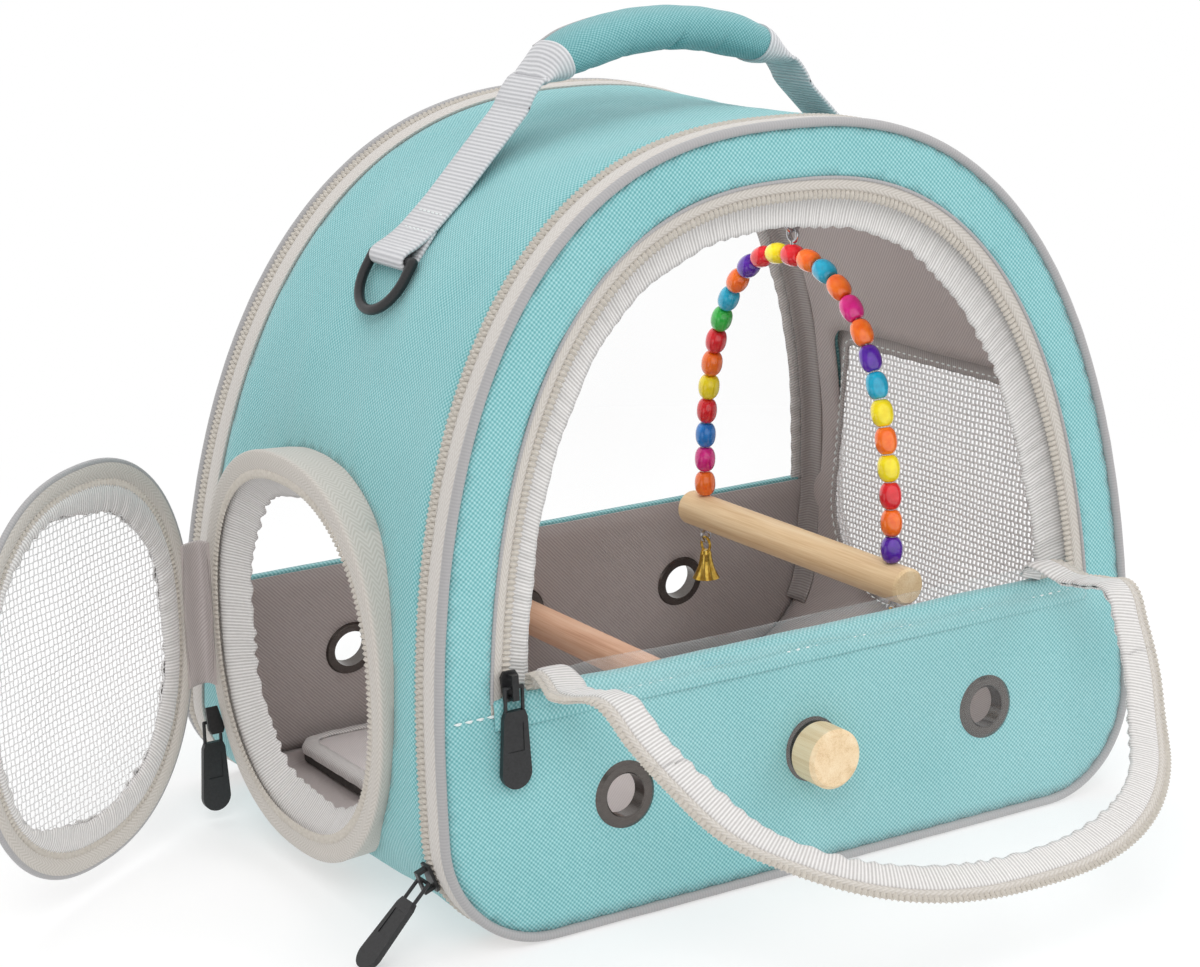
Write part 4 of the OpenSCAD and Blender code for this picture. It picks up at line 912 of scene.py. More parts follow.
# Hem: the canvas turned over the lower panel's top edge, from its face over the fold and down its
# back, drawn in by the stitches 4.5 mm below the fold
x = np.linspace(-136.4, 136.4, 92)
z = np.array([82.6, 82.8, 84.4, 86.6, 87.5, 88.4, 90.6, 92.0, 92.6, 92.7, 92.2, 90.0, 86.0])
d = np.array([1.1, 0.35, 0.15, 0.12, 0.42, 0.12, 0.15, 0.5, 1.6, 4.4, 5.7, 6.0, 6.1])
gx, gz = np.meshgrid(x, z, indexing="ij")
spots = np.c_[gx.ravel(), gz.ravel() * 0]
gz = gz + (0.35 * waves(spots, 60, 41).reshape(gx.shape)) * (gz > 84)
gd = d[None] + np.where(d < 3, -0.35, 0.3)[None] + 0.18 * waves(spots, 26, 42).reshape(gx.shape)
hem = grid(front(gx, gz, gd), turn=True)
piece("front_hem", hem, canvas, thick=0.7)
STITCH_Z = HEM_Z - 4.5
reach = arch_half(STITCH_Z, 5.5)
x = np.linspace(-reach, reach, 240)
z = np.full_like(x, STITCH_Z) + 0.25 * waves(np.c_[x, x * 0], 60, 43)
d = np.where(np.abs(x) < 136, -0.1, front_face(x, z) - 0.35)
path = front(x, z, d)
unit = np.ones((len(x), 1))
side, up = unit * [0, 0, 1.0], unit * [0, -1.0, 0]
sewn = stitches(path, side, up, length=3.2, gap=1.2, width=0.55, height=0.5)
piece("hem_stitches", sewn, thread)

# ---- window: tape, coil, edge cord and gathered binding ----

insets, depths = [21.2, 21.8, 23.0, 25.5, 27.3], [1.5, 0.5, 0.55, 0.9, 1.9]
rows = end_ring(front, insets, depths, 3.0, above=HEM_Z - 1.5, drop=0.0)
piece("window_tape", grid(rows), tape, nodes=["window_zip_tape"], thick=0.9)
path, radial, through = end_axes(front, 28.1, 28.1, 2.0, 2.0, above=HEM_Z)
loops = teeth(path, radial, -through, width=2.6, height=1.5)
piece("window_teeth", loops, nylon, nodes=["window_zip_coil"])
path, radial, through = end_axes(front, 21.9, 21.9, 0.35, 3.0, above=HEM_Z)
edge_cord = swept(path, radial, through, circle(0.7, 0.6, 8))
piece("window_edge_cord", edge_cord, tricot)


def gathered_ring(place, insets, depths, above, pitch, seed, lift, sway):
    """A gathered ribbon round an end: ripples grow from its sewn edge to its swaying free edge."""
    stations = arch_stations(GATHER_STEP, insets[0], insets[0], above)
    run = np.linspace(0, len(stations) * GATHER_STEP, len(stations))
    ripple = gathers(run, pitch, seed)
    slow = np.sin(run / pitch * 0.9 + seed) * np.sin(run / pitch * 0.33)
    columns = []
    for k, (i, d) in enumerate(zip(insets, depths)):
        share = k / (len(insets) - 1)
        xz0 = arch_at(stations, i, i)
        xz1 = arch_at(stations, i + 1, i + 1)
        xz = xz0 + (xz1 - xz0) * (sway * share**2 * (0.6 * ripple + 0.6 * slow))[:, None]
        full = 0.35 + 0.65 * np.sin(np.pi * min(share * 1.1, 1)) + 0.3 * share
        columns.append(place(xz[:, 0], xz[:, 1], d + lift * share**0.7 * ripple * full))
    return grid(np.stack(columns, 1))


depths = [4.4, 4.6, 5.2, 5.9, 6.4, 6.8, 7.0, 7.2, 7.6]
s = gathered_ring(
    front, np.linspace(24, 40.5, 9), depths, above=90.0, pitch=7.0, seed=1.0, lift=0.8, sway=1.0
)
piece("window_gathers", s, ribbon, nodes=["window_binding"], thick=0.7)

# ---- rear panel, rear window and its binding ----

eyelet_holes = eyelet_rings(REAR_LEAN)
flat, tris = cut_cloth(below_line(PANEL_INSET, REAR_HEM_Z, 4.0), eyelet_holes, 4.0)
depth = 1.0 + 0.5 * waves(flat, 110, 51) * smooth((REAR_HEM_Z - flat[:, 1]) / 20) + 0.12 * waves(flat, 34, 52)
face = rear(flat[:, 0], flat[:, 1], depth)
sheet = laid(face, flat, tris, turn=True)
panel = piece("rear_canvas", sheet, canvas, nodes=["rear_panel"], thick=3.2)
flat, tris = cut_cloth(below_line(PANEL_INSET, REAR_HEM_Z - 1.4, 5.0), eyelet_holes, 5.0)
face = rear(flat[:, 0], flat[:, 1], 5.3 + 0.35 * waves(flat, 80, 53))
sheet = laid(face, flat, tris)
panel = piece("rear_panel_back", sheet, twill, nodes=["rear_panel_lining"], thick=0.7)

flat, tris = cut_cloth(above_line(8.0, REAR_HEM_Z - 4, 6.0), [], 6.0)
face = rear(flat[:, 0], flat[:, 1], 2.7 + 0.5 * waves(flat, 120, 54))
sheet = laid(face, flat, tris, turn=True)
panel = piece("rear_film", sheet, film, nodes=["rear_window_film"])
depths = [1.6, 0.9, 0.8, 0.8, 0.9, 1.2, 1.9]
s = gathered_ring(
    rear, np.linspace(3.4, 14.0, 7), depths, above=REAR_HEM_Z - 1, pitch=9.0, seed=4.0, lift=0.25, sway=0.5
)
piece("rear_gathers", flipped(s), ribbon, nodes=["rear_window_binding"], thick=0.6)
depths = [5.0, 4.6, 4.4, 4.4, 4.3, 4.0, 3.4]
s = gathered_ring(
    rear, np.linspace(3.4, 15.0, 7), depths, above=REAR_HEM_Z - 1, pitch=9.0, seed=5.0, lift=0.3, sway=0.6
)
piece("rear_gathers_back", s, ribbon, thick=0.6)

# Bound seam where the lining meets the rear panel: a folded ribbon that rounds the inner corner
insets, depths = [11.5, 9.6, 7.4, 6.7, 6.5, 6.4], [6.2, 6.6, 7.2, 8.4, 12.0, 15.0]
rows = end_ring(rear, insets, depths, 4.0, above=26.0)
rows[:, :, 0] *= 1 - 0.0012 * waves(rows[:, 2], 30, 88)[:, None]
piece("rear_seam_binding", grid(rows), grey_ribbon, thick=0.5)

# ---- side door rim, door and hinge strip ----


def oval_rows(shrinks, xs, wall=()):
    """Rows round the oval: each column has its shrink and its X; wall lifts the first ones off the wall."""
    base = oval(shrinks[0])
    n = inward(base)
    columns = []
    for k, (s, x) in enumerate(zip(shrinks, xs)):
        yz = base + n * (s - shrinks[0])
        x = np.full(len(yz), float(x))
        if k < len(wall):
            x = -arch_half(np.maximum(yz[:, 1], CORNER), WALL_INSET) + wall[k]
            x = np.maximum(x + corner_drop(yz[:, 1]), -160.5)
        columns.append(np.stack([x, yz[:, 0], yz[:, 1]], -1))
    return np.stack(columns, 1)


# The collar stands off the wall and rolls over to a face that carries the coil: shrink and X of
# each column, the first three lifted off the wall instead
rows = oval_rows(
    [3.4, 1.6, 0.9, 0.25, 0.05, 0.2, 0.9, 3.0, 6.0, 8.2, 8.2, 6.0, 3.6],
    [0, 0, 0, -160.8, -162.9, -163.7, -164.1, -164.15, -164.1, -163.7, -162.5, -162.3, -161.0],
    wall=[2.5, 1.2, 0.8],
)
rows[:, 2, 0] = np.minimum(rows[:, 2, 0], -150)
collar = outwards(grid(rows, loop=True, ring=True))
piece("rim_collar", collar, tape, nodes=["door_rim_tape"])


def oval_axes(shrink, x):
    """Path round the oval with its directions inwards and outwards along -X."""
    base = oval(shrink, 2.0)
    n = inward(base)
    path = closed_path(np.stack([np.full(len(base), x), base[:, 0], base[:, 1]], -1))
    n = closed_path(n)
    return path, np.c_[n[:, 0] * 0, n], np.broadcast_to([-1.0, 0, 0], path.shape)


path, radial, outside = oval_axes(9.0, -163.4)
loops = teeth(path, radial, outside, width=2.5, height=1.2)
piece("rim_teeth", loops, nylon, nodes=["door_rim_coil"])


def gathered_oval(shrinks, xs, pitch, seed, lift, sway, narrow=1.0):
    """A gathered ribbon round the oval, with ripples and a swaying free edge, narrower on its free side."""
    base = oval(shrinks[0], GATHER_STEP)
    n = inward(base)
    broad = np.maximum(smooth((base[:, 0] + 55) / 90), smooth((45 - base[:, 1]) / 35))
    broad = narrow + (1 - narrow) * broad
    run = np.arange(len(base)) * GATHER_STEP
    ripple = gathers(run, pitch, seed)
    slow = np.sin(2 * np.pi * run / (len(base) * GATHER_STEP) * 9 + seed)
    fade = smooth(np.minimum(run, run[-1] - run) / 6)
    columns = []
    for k, (s, x) in enumerate(zip(shrinks, xs)):
        share = k / (len(shrinks) - 1)
        reach = (s - shrinks[0]) * broad + sway * share**2 * (0.5 * ripple + 0.8 * slow) * fade
        yz = base + n * reach[:, None]
        columns.append(np.stack([x + lift * share**0.7 * ripple * fade, yz[:, 0], yz[:, 1]], -1))
    return grid(np.stack(columns, 1), loop=True)


xs = [-161.6, -161.2, -159.9, -158.2, -156.6, -155.2, -153.8, -152.6]
s = gathered_oval(np.linspace(7.6, 19.0, 8), xs, pitch=8.0, seed=2.0, lift=0.7, sway=0.9)
piece("rim_gathers", flipped(s), ribbon, nodes=["door_rim_binding"], thick=0.7)

LEAF_X = -166.4
path, radial, outside = (v[:-1] for v in oval_axes(1.5, LEAF_X))
hung = opened(path)
cord = swept(hung, opened(path + radial) - hung, opened(path + outside) - hung,
             circle(1.35, 1.25, 12), loop=True)
piece("door_edge_cord", cord, tricot, "door")
rows = oval_rows(
    [1.2, 1.9, 4.0, 6.4, 8.2, 8.4, 6.4, 4.0, 1.9],
    [-165.5, -165.2, -165.0, -165.1, -165.9, -166.9, -167.6, -167.8, -167.6],
)
tapes = outwards(grid(opened(rows), loop=True, ring=True))
piece("door_tapes", tapes, tape, "door", ["door_tape"])
path, radial, outside = oval_axes(9.2, LEAF_X)
loops = both_faces(path, radial, -outside)
loops["p"] = opened(loops["p"])
piece("door_teeth", loops, nylon, "door", ["door_coil"])
sides = []
for face, turn in ((-165.6, False), (-167.2, True)):
    lean = -1 if turn else 1
    xs = face + lean * np.array([-0.6, 0.35, 0.7, 0.8, 0.7, 0.4, -0.3])
    s = gathered_oval(
        np.linspace(9.4, 21.6, 7), xs, pitch=8.5, seed=3.0 + face, lift=0.45 * lean, sway=1.0, narrow=0.35
    )
    s["p"] = opened(s["p"])
    sides.append(flipped(s) if turn else s)
piece("door_gathers", joined(sides), ribbon, "door", ["door_binding"], thick=0.6)


def net_cords(region, pitch, thick, at, weave, rim):
    """A woven net in Y and Z: cords both ways across it, each a four-sided tube that rides over and under."""
    low, high = region.min(0), region.max(0)
    shells = []
    for axis in (0, 1):
        other = 1 - axis
        for row in np.arange(low[other] + pitch / 2, high[other], pitch):
            a, b = region, np.roll(region, -1, 0)
            hit = (a[:, other] > row) != (b[:, other] > row)
            if hit.sum() < 2:
                continue
            part = (row - a[hit, other]) / (b[hit, other] - a[hit, other])
            ends = a[hit, axis] + part * (b[hit, axis] - a[hit, axis])
            first, last = ends.min() - rim, ends.max() + rim
            if last - first < pitch:
                continue
            steps = max(int((last - first) / pitch * 2), 2)
            run = np.linspace(first, last, steps)
            wave = np.cos(np.pi * (run - low[axis]) / pitch + np.pi * round((row - low[other]) / pitch))
            wave = wave * weave * (1 if axis else -1)
            drift = 0.12 * waves(np.c_[run, run * 0 + row], 40, 61 + axis)
            yz = np.zeros((steps, 2))
            yz[:, axis], yz[:, other] = run, row + drift
            path = np.c_[at + wave, yz]
            side = np.zeros((steps, 3))
            side[:, 1 + other] = 1
            up = np.broadcast_to([1.0, 0, 0], path.shape)
            shells.append(swept(path, side, up, circle(thick, thick * 0.8, 4)))
    return joined(shells)


mesh = net_cords(oval(11.5, 3.0), pitch=2.6, thick=0.27, at=LEAF_X, weave=0.22, rim=0.8)
mesh["p"][:, 0] += 0.48 * waves(mesh["p"][:, 1:], 55, 62)
mesh["p"] = opened(mesh["p"])
piece("door_fine_net", mesh, net_cord, "door", ["door_net"])

# Hinge strip: from the rim's face tape, round the hinge line and on to the leaf's inner face
leaf = opened(np.array([[-164.7, y, DOOR_Z] for y in (68.5, 66.5, 64.5, 62.9)]))[:, :2]
line = np.r_[[[-164.6, 63.2], [-164.75, 66.0], [-165.2, 69.0]], leaf]
line = rounded(line, 0.8, 14)
zs = np.r_[57.6, 57.8, 58.6, 60.0, np.linspace(62, 112, 16), 114.0, 115.4, 116.2, 116.4]
hem_z = [57, 58, 62, 62.6, 111.4, 112, 116, 117]
half_thick = np.interp(zs, hem_z, [0.1, 0.75, 0.75, 0.35, 0.35, 0.75, 0.75, 0.1])
n = inward(line, closed=False)
share = np.linspace(0, 1, len(line))
bulge = 0.7 * np.sin(np.pi * share)[:, None] * waves(np.c_[zs, zs * 0], 38, 64)[None]
sides = []
for sign in (1, -1):
    off = sign * half_thick[None] + bulge
    xy = line[:, None] + n[:, None] * off[..., None]
    sides.append(np.concatenate([xy, np.broadcast_to(zs[:, None], (*off.shape, 1))], 2))
both = np.concatenate([sides[0], sides[1][:, ::-1]], 1)
strip = mesh_object("hinge_strip", outwards(grid(both, ring=True, cap=True)), twill)
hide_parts("door_hinge_strip")
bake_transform(strip)

# ---- side net ----

mesh = net_cords(net_outline(7.5, 3.0), pitch=2.5, thick=0.56, at=147.4, weave=0.35, rim=1.0)
mesh["p"][:, 0] += 0.54 * waves(mesh["p"][:, 1:], 60, 71)
piece("side_fine_net", mesh, net_cord, nodes=["side_net"])
base = net_outline(0.0, 2.0)
n = inward(base)
run = np.arange(len(base)) * 2.0
columns = []
for shrink, share in zip([-0.6, 0.0, 0.9, 2.6, 5.0, 7.4, 9.2], [0.0, 0.03, 0.16, 0.45, 0.75, 0.93, 1.0]):
    yz = base + n * (shrink + 0.3 * share * gathers(run, 11.0, 7.0))[:, None]
    outer = arch_half(np.maximum(yz[:, 1], CORNER), 1.0) - corner_drop(yz[:, 1])
    columns.append(np.stack([outer * (1 - share) + 146.9 * share, yz[:, 0], yz[:, 1]], -1))
s = grid(np.stack(columns, 1), loop=True)
piece("net_frame_binding", s, grey_ribbon, nodes=["side_net_binding"], thick=0.8)
path = closed_path(np.stack([np.full(len(base), 146.2), *(base + n * 6.8).T], -1))
radial = closed_path(np.c_[n[:, 0] * 0, n])
up = np.broadcast_to([-1.0, 0, 0], path.shape)
sewn = stitches(path, radial, up, length=2.6, gap=1.2, width=0.4, height=0.4)
piece("net_stitches", sewn, thread)

# ---- floor mat ----


def mat_line(shrink, step):
    """Round-cornered outline of the mat in X and Y."""
    w, low, high = MAT_HALF_W - MAT_CORNER, MAT_FRONT + MAT_CORNER, MAT_REAR - MAT_CORNER
    corners = [(w, low, -90), (w, high, 0), (-w, high, 90), (-w, low, 180)]
    return cornered([(x, y, MAT_CORNER - shrink, first) for x, y, first in corners], 9, step)


outline = mat_line(3.0, 5.0)
flat, tris = cut_cloth(outline, [], 5.0)
edge = np.array([np.abs(outline - f).max(1).min() for f in flat])
top = 11.6 + 1.6 * smooth(edge / 14) + 0.35 * waves(flat, 60, 81) * smooth(edge / 10)
rim = np.array([np.linalg.norm(flat - o, axis=1).argmin() for o in outline])
under = np.c_[flat, np.full(len(flat), 8.8)]
upper = np.c_[flat, top]
count = len(flat)
following = np.roll(rim, -1)
wall_faces = np.stack([rim + count, following + count, following, rim], -1)
ahead = np.roll(outline, -1, 0)
wall_cut = np.stack([outline, ahead, ahead, outline], -2)
faces = [tris, tris[:, ::-1] + count, wall_faces]
mat = shell(np.r_[upper, under], faces, [flat[tris], flat[tris[:, ::-1]], wall_cut])
padded("floor_pad", mat, mat_cloth, "carrier", "floor_mat")

line = mat_line(0.0, 2.5)
n = inward(line)
columns = []
run = np.arange(len(line)) * 2.5
shrinks, zs = [7.2, 5.0, 2.6, 0.9, 0.1, 0.3, 2.0, 6.0], [12.9, 13.0, 12.9, 12.2, 10.7, 9.2, 8.6, 8.6]
for shrink, z in zip(shrinks, zs):
    xy = line + n * (shrink + 0.15 * gathers(run, 10, 3.0))[:, None]
    columns.append(np.c_[xy, z + 0.15 * gathers(run, 10, 5.0) * (z > 9)])
piece("mat_binding", grid(np.stack(columns, 1), loop=True, turn=True), ribbon, nodes=["floor_mat_binding"],
      thick=0.6)

# ---- handle: padded grip, end wraps, webbing ----


def grip_point(a, across, up):
    """A point of the handle: angle from its crown, place across in Y and height off its middle line."""
    a, across, up = np.broadcast_arrays(a, across, up)
    r = GRIP_R + up
    return np.stack([r * np.sin(a), HANDLE_Y + across, GRIP_Z + r * np.cos(a)], -1)


GRIP_A = GRIP_END - GRIP_BIND
a = np.linspace(-GRIP_A - 0.012, GRIP_A + 0.012, 64)
k = np.linspace(0, 2 * np.pi, 41)[:-1]
share = np.abs(a) / GRIP_A
fat = (1 - 0.16 * smooth((share - 0.72) / 0.3)) * (1 + 0.012 * waves(np.c_[a * 100, a * 0], 9, 91))
across = np.outer(fat, 14.6 * bent(np.cos(k), 0.86))
up = np.outer(fat, 8.4 * bent(np.sin(k), 0.9))
# Creases where the foam is pressed together under the bend
for at, deep, wide in ((0.035, 1.5, 0.010), (-0.15, 0.8, 0.012), (0.2, 0.7, 0.012), (-0.28, 0.6, 0.012)):
    dent = deep * np.exp(-(((a[:, None] - at - 0.02 * np.sin(k)[None]) / wide) ** 2))
    dent = dent * smooth((0.55 - np.sin(k)) / 1.2)[None] * smooth(1.1 - np.cos(k)[None] * 0.4)
    up -= np.sign(up) * dent * 0.8
    across -= np.sign(across) * dent * 0.5
grip = outwards(grid(grip_point(a[:, None], across, up), ring=True, cap=True))
# The sleeve takes the canvas copy that is painted darker as shade
padded("grip_sleeve", grip, shaded_sleeve_canvas, "handle", "handle_grip")

a = np.linspace(-GRIP_A, GRIP_A, 60)
fat = 1 - 0.16 * smooth((np.abs(a) / GRIP_A - 0.72) / 0.3)
path = grip_point(a, 12.4 * fat, 5.6 * fat)
side = np.broadcast_to([0, 1.0, 0], path.shape)
cord = swept(path, side, np.cross(tangents(path), side), circle(1.0, 1.0, 10))
piece("grip_edge_cord", cord, tricot, "handle")

for end in (-1, 1):
    # The wrap runs from round the sleeve to a flat fold of webbing at the handle's end
    t = np.linspace(0, 1, 15)
    a = end * (GRIP_A - 0.012 + (GRIP_BIND + 0.012) * t)
    half = 13.1 - 0.3 * t + 0.3 * np.sin(t * 9)
    tall = 5.6 * (1 - smooth(t / 1.1)) + 2.1 + 0.3 * np.sin(np.pi * t)
    k = np.linspace(0, 2 * np.pi, 37)[:-1]
    across = np.outer(half, bent(np.cos(k), 0.8))
    up = np.outer(tall, bent(np.sin(k), 0.9))
    up += (0.25 * np.sin(across / 2.2 + 5 * t[:, None])) * np.sign(np.sin(k))[None] * t[:, None]
    wrap = outwards(grid(grip_point(a[:, None], across, up - 1.2 * t[:, None]), ring=True, cap=True))
    name = "left" if end < 0 else "right"
    piece("grip_wrap_" + name, wrap, webbing, "handle", ["handle_end_bindings"])


def webbing_strip(line, y, width=WEBBING_W, thick=WEBBING_T):
    """Flat webbing along a line of X and Z: a profile with rounded edges; gives the axes too."""
    n = inward(line, closed=False)
    path = np.stack([line[:, 0], np.full(len(line), y), line[:, 1]], -1)
    up = np.stack([n[:, 0], n[:, 0] * 0, n[:, 1]], -1)
    h, t = width / 2, thick / 2
    across = np.array([-h, -h + 0.5, -h / 2, 0, h / 2, h - 0.5, h])
    down = np.array([t * 0.4, t, t, t, t, t, t * 0.4])
    profile = np.r_[np.c_[across, -down], np.c_[across, down][::-1]]
    side = np.broadcast_to([0, 1.0, 0], path.shape)
    return swept(path, side, up, profile), path, side, up


both = []
for end in (-1, 1):
    line = np.array([[55.0, 297.2], [58.5, 295.6], [61.5, 292.0], [63.4, 289.0], [64.6, 286.4]])
    line = rounded(line * [end, 1], 0.8, 3)
    both.append(webbing_strip(line, HANDLE_Y)[0])
fold = mesh_object("handle_fold_webbing", joined(both), webbing)
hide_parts("handle_webbing")
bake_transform(fold)

down = np.array([np.cos(SLOPE), -np.sin(SLOPE)])
off = np.array([np.sin(SLOPE), np.cos(SLOPE)])
foot = BAR - off * 4.2


def roof_point(x, lift):
    """A point over the cloth roof: the arch at X, moved out along its normal."""
    step = 0.1
    share = np.array([x, x + step]) / (WIDTH / 2 - WALL_INSET)
    z, z2 = CORNER + (HEIGHT - WALL_INSET - CORNER) * (1 - share**POWER) ** (1 / POWER)
    n = np.array([z - z2, step])
    n /= np.linalg.norm(n)
    return np.array([x, z]) + n * lift


turn = np.radians(np.linspace(100, -85, 16))
around = [BAR + 3.15 * (off * np.sin(t) + down * np.cos(t)) for t in turn]
slack = [[64.2, 287.0], [66.0, 284.4], [80.0, 270.2], [95.0, 254.8]]
resting = [roof_point(x, lift) for x, lift in ((101.0, 1.7), (106.0, 2.4), (110.0, 4.3), (112.8, 6.6))]
back = [foot - down * run + off * 0.9 for run in (6, 15)]
line = rounded(np.array([*slack, *resting, *around, *back]), 0.9, 5)
for end, name in ((1, "right"), (-1, "left")):
    s, path, side, up = webbing_strip(line * [end, 1], HANDLE_Y)
    piece("strap_webbing_" + name, s, webbing, "carrier", ["strap_" + name])
    rows = []
    walked = run_length(line)
    for back_by in (47.0, 38.5):
        at = walked[-1] - back_by
        x, z = along(at, walked, line)
        n = up[np.abs(walked - at).argmin()]
        outer = n * np.sign(n[2])
        y = np.linspace(-10.8, 10.8, 24)
        p = np.stack([np.full(24, x * end), HANDLE_Y + y, np.full(24, z)], -1) + outer * 0.85
        beside = np.broadcast_to(np.cross(n, [0, 1.0, 0]), p.shape)
        outer = np.broadcast_to(outer, p.shape)
        rows.append(stitches(p, beside, outer, length=2.2, gap=0.9, width=0.35, height=0.3))
    piece("strap_stitches_" + name, joined(rows), thread, "carrier")

# ---- swing: roof loop and beads ----

LOOP_R, LOOP_DROP = 3.0, 10.4
roof_z = roof_point(SWING_X, -5.5)[1]
a = np.radians(np.linspace(180, 360, 13))
bend = np.c_[SWING_X + LOOP_R * np.cos(a), roof_z - LOOP_DROP + LOOP_R * np.sin(a)]
line = np.r_[[[SWING_X - LOOP_R, roof_z + 3.0]], bend, [[SWING_X + LOOP_R, roof_z - 2.0]]]
s = webbing_strip(rounded(line, 0.8, 2), SWING_Y, 5.0, 1.1)[0]
piece("roof_tab", s, twill, nodes=["swing_roof_loop"])

a = np.linspace(0, np.pi, 2001)
arch = np.c_[SWING_Y - SWING_HALF * bent(np.cos(a), 2 / SWING_POWER),
             SWING_FOOT + SWING_RISE * bent(np.sin(a), 2 / SWING_POWER)]
walked = run_length(arch)
order = ("orange pink blue red yellow orange red green teal orange violet red yellow red orange teal "
         "orange pink orange violet teal yellow orange yellow red orange violet").split()
step = walked[-1] / len(order)
t = np.linspace(-1, 1, 13)
t = np.sin(t * np.pi / 2)
profile_r = np.r_[0.9, 1.3 + 3.25 * (1 - np.abs(t[1:-1]) ** 2.3) ** 0.5, 0.9]
profile_l = np.r_[-0.93, t[1:-1], 0.93] * step * 0.5
k = np.linspace(0, 2 * np.pi, 21)[:-1]
for shade in BEAD_SHADES:
    made = []
    for i in [i for i, o in enumerate(order) if o == shade]:
        at = walked[-1] - (i + 0.5) * step
        yz = along(at, walked, arch)
        ahead = along(at + 1, walked, arch) - yz
        ahead /= np.linalg.norm(ahead)
        across = np.array([-ahead[1], ahead[0]])
        plump = 1 + 0.03 * np.random.default_rng(i).uniform(-1, 1)
        ring_x = np.outer(profile_r * plump, np.cos(k))
        ring_s = np.outer(profile_r * plump, np.sin(k))
        p = np.stack([SWING_X + ring_x, yz[0] + ahead[0] * profile_l[:, None] + across[0] * ring_s,
                      yz[1] + ahead[1] * profile_l[:, None] + across[1] * ring_s], -1)
        made.append(outwards(grid(p, ring=True, cap=True)))
    piece("beads_" + shade, joined(made), bead_paint[shade], "swing", ["swing_beads"])

# ---- window flap ----


def lowered(x, d, z, share):
    """Closed flap to its lowered rest: each fold, the tip first, turns a point by its share of the angle."""
    for k in (2, 1, 0):
        c, s = np.cos(TURNS[k] * share[:, k]), np.sin(TURNS[k] * share[:, k])
        d0, z0 = d - FOLD_DEPTH, z - FOLDS[k]
        d, z = FOLD_DEPTH + c * d0 - s * z0, FOLDS[k] + s * d0 + c * z0
    c, s = np.cos(FRONT_LEAN), np.sin(FRONT_LEAN)
    return np.stack([x, -DEPTH / 2 + d * c + z * s, -d * s + z * c], -1)


def fold_planes():
    """Start and end of each bend, along the mean heading there, so that places at rest give the shares."""
    planes, reach = [], ((0.0, 21.0), (-17.0, 17.0), (-20.0, 20.0))
    total = 0.0
    for k, (before, after) in enumerate(reach):
        share = np.zeros((1, 3))
        share[0, :k] = 1
        centre = lowered(np.zeros(1), np.full(1, FOLD_DEPTH), np.full(1, FOLDS[k]), share)[0]
        mean = total + TURNS[k] / 2 - FRONT_LEAN
        way = np.array([0.0, -np.sin(mean), np.cos(mean)])
        half = np.cos(TURNS[k] / 2)
        planes.append((centre + way * before * half, centre + way * after * half))
        total += TURNS[k]
    return planes


PLANES = fold_planes()


def rest_shares(x, d, z, k):
    """Share of fold k for points on either side of it: where share and place agree, by halving."""
    start, end = PLANES[k]
    way = end - start
    low, high = np.zeros(len(x)), np.ones(len(x))
    full = np.zeros((len(x), 3))
    full[:, :k] = 1
    for _ in range(34):
        mid = (low + high) / 2
        full[:, k] = mid
        p = lowered(x, d, z, full)
        more = smooth((p - start) @ way / (way @ way)) > mid
        low, high = np.where(more, mid, low), np.where(more, high, mid)
    full[:, k] = (low + high) / 2
    return full


def hang(name, s, material, nodes, thick=0.0):
    """Cuts a closed-flap shell across its stretches and lowers each part to its rest, bent through its folds.
    """
    x, d, z = s["p"].T
    made = []
    for k in range(3):
        low = -1e9 if k == 0 else CUTS[k - 1]
        high = 1e9 if k == 2 else CUTS[k]
        faces, cuts = [], []
        for f, c in zip(s["f"], s["c"]):
            mid = z[f].mean(1)
            keep = (mid >= low) & (mid < high)
            if keep.any():
                faces.append(f[keep])
                cuts.append(c[keep])
        used = np.unique(np.concatenate([f.ravel() for f in faces]))
        index = np.zeros(len(x), int)
        index[used] = np.arange(len(used))
        share = rest_shares(x[used], d[used], z[used], k)
        part = shell(lowered(x[used], d[used], z[used], share), [index[f] for f in faces], cuts)
        obj = mesh_object(f"{name}_{STRETCHES[k]}", part, material)
        if thick:
            thicken(obj, thick)
        if nodes:
            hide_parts(nodes + "_" + STRETCHES[k])
        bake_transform(obj)
        made.append(obj)
    return made


def flap_line(step):
    """Closed flap's outline from its right corner over the crown, in X and height up the panel."""
    line = arch_at(arch_stations(1.0, 30.0, 30.0, 120.0), 30.0, 30.0)
    foot = np.array([[119.5, 91.5], [121.0, 95.0], [121.4, 105.0]])
    return rounded(np.r_[foot, line, foot[::-1] * [-1, 1]], step, 5)


ring_line = flap_line(GATHER_STEP)
n = inward(ring_line, closed=False)
run = run_length(ring_line)
ripple, slow = gathers(run, 8.0, 1.7), np.sin(run / 19.0) * np.sin(run / 41.0 + 1)


def flap_strip(offsets, depths, lift=0.0, sway=0.0, turn=False):
    """A ribbon round the closed flap: columns at offsets from its edge and depths off its middle."""
    columns = []
    for k, (o, d) in enumerate(zip(offsets, depths)):
        share = k / (len(offsets) - 1)
        xz = ring_line + n * (o + sway * share**2 * (0.5 * ripple + 0.9 * slow))[:, None]
        columns.append(np.stack([xz[:, 0], FOLD_DEPTH + d + lift * share**0.6 * ripple, xz[:, 1]], -1))
    return grid(np.stack(columns, 1), turn=turn)


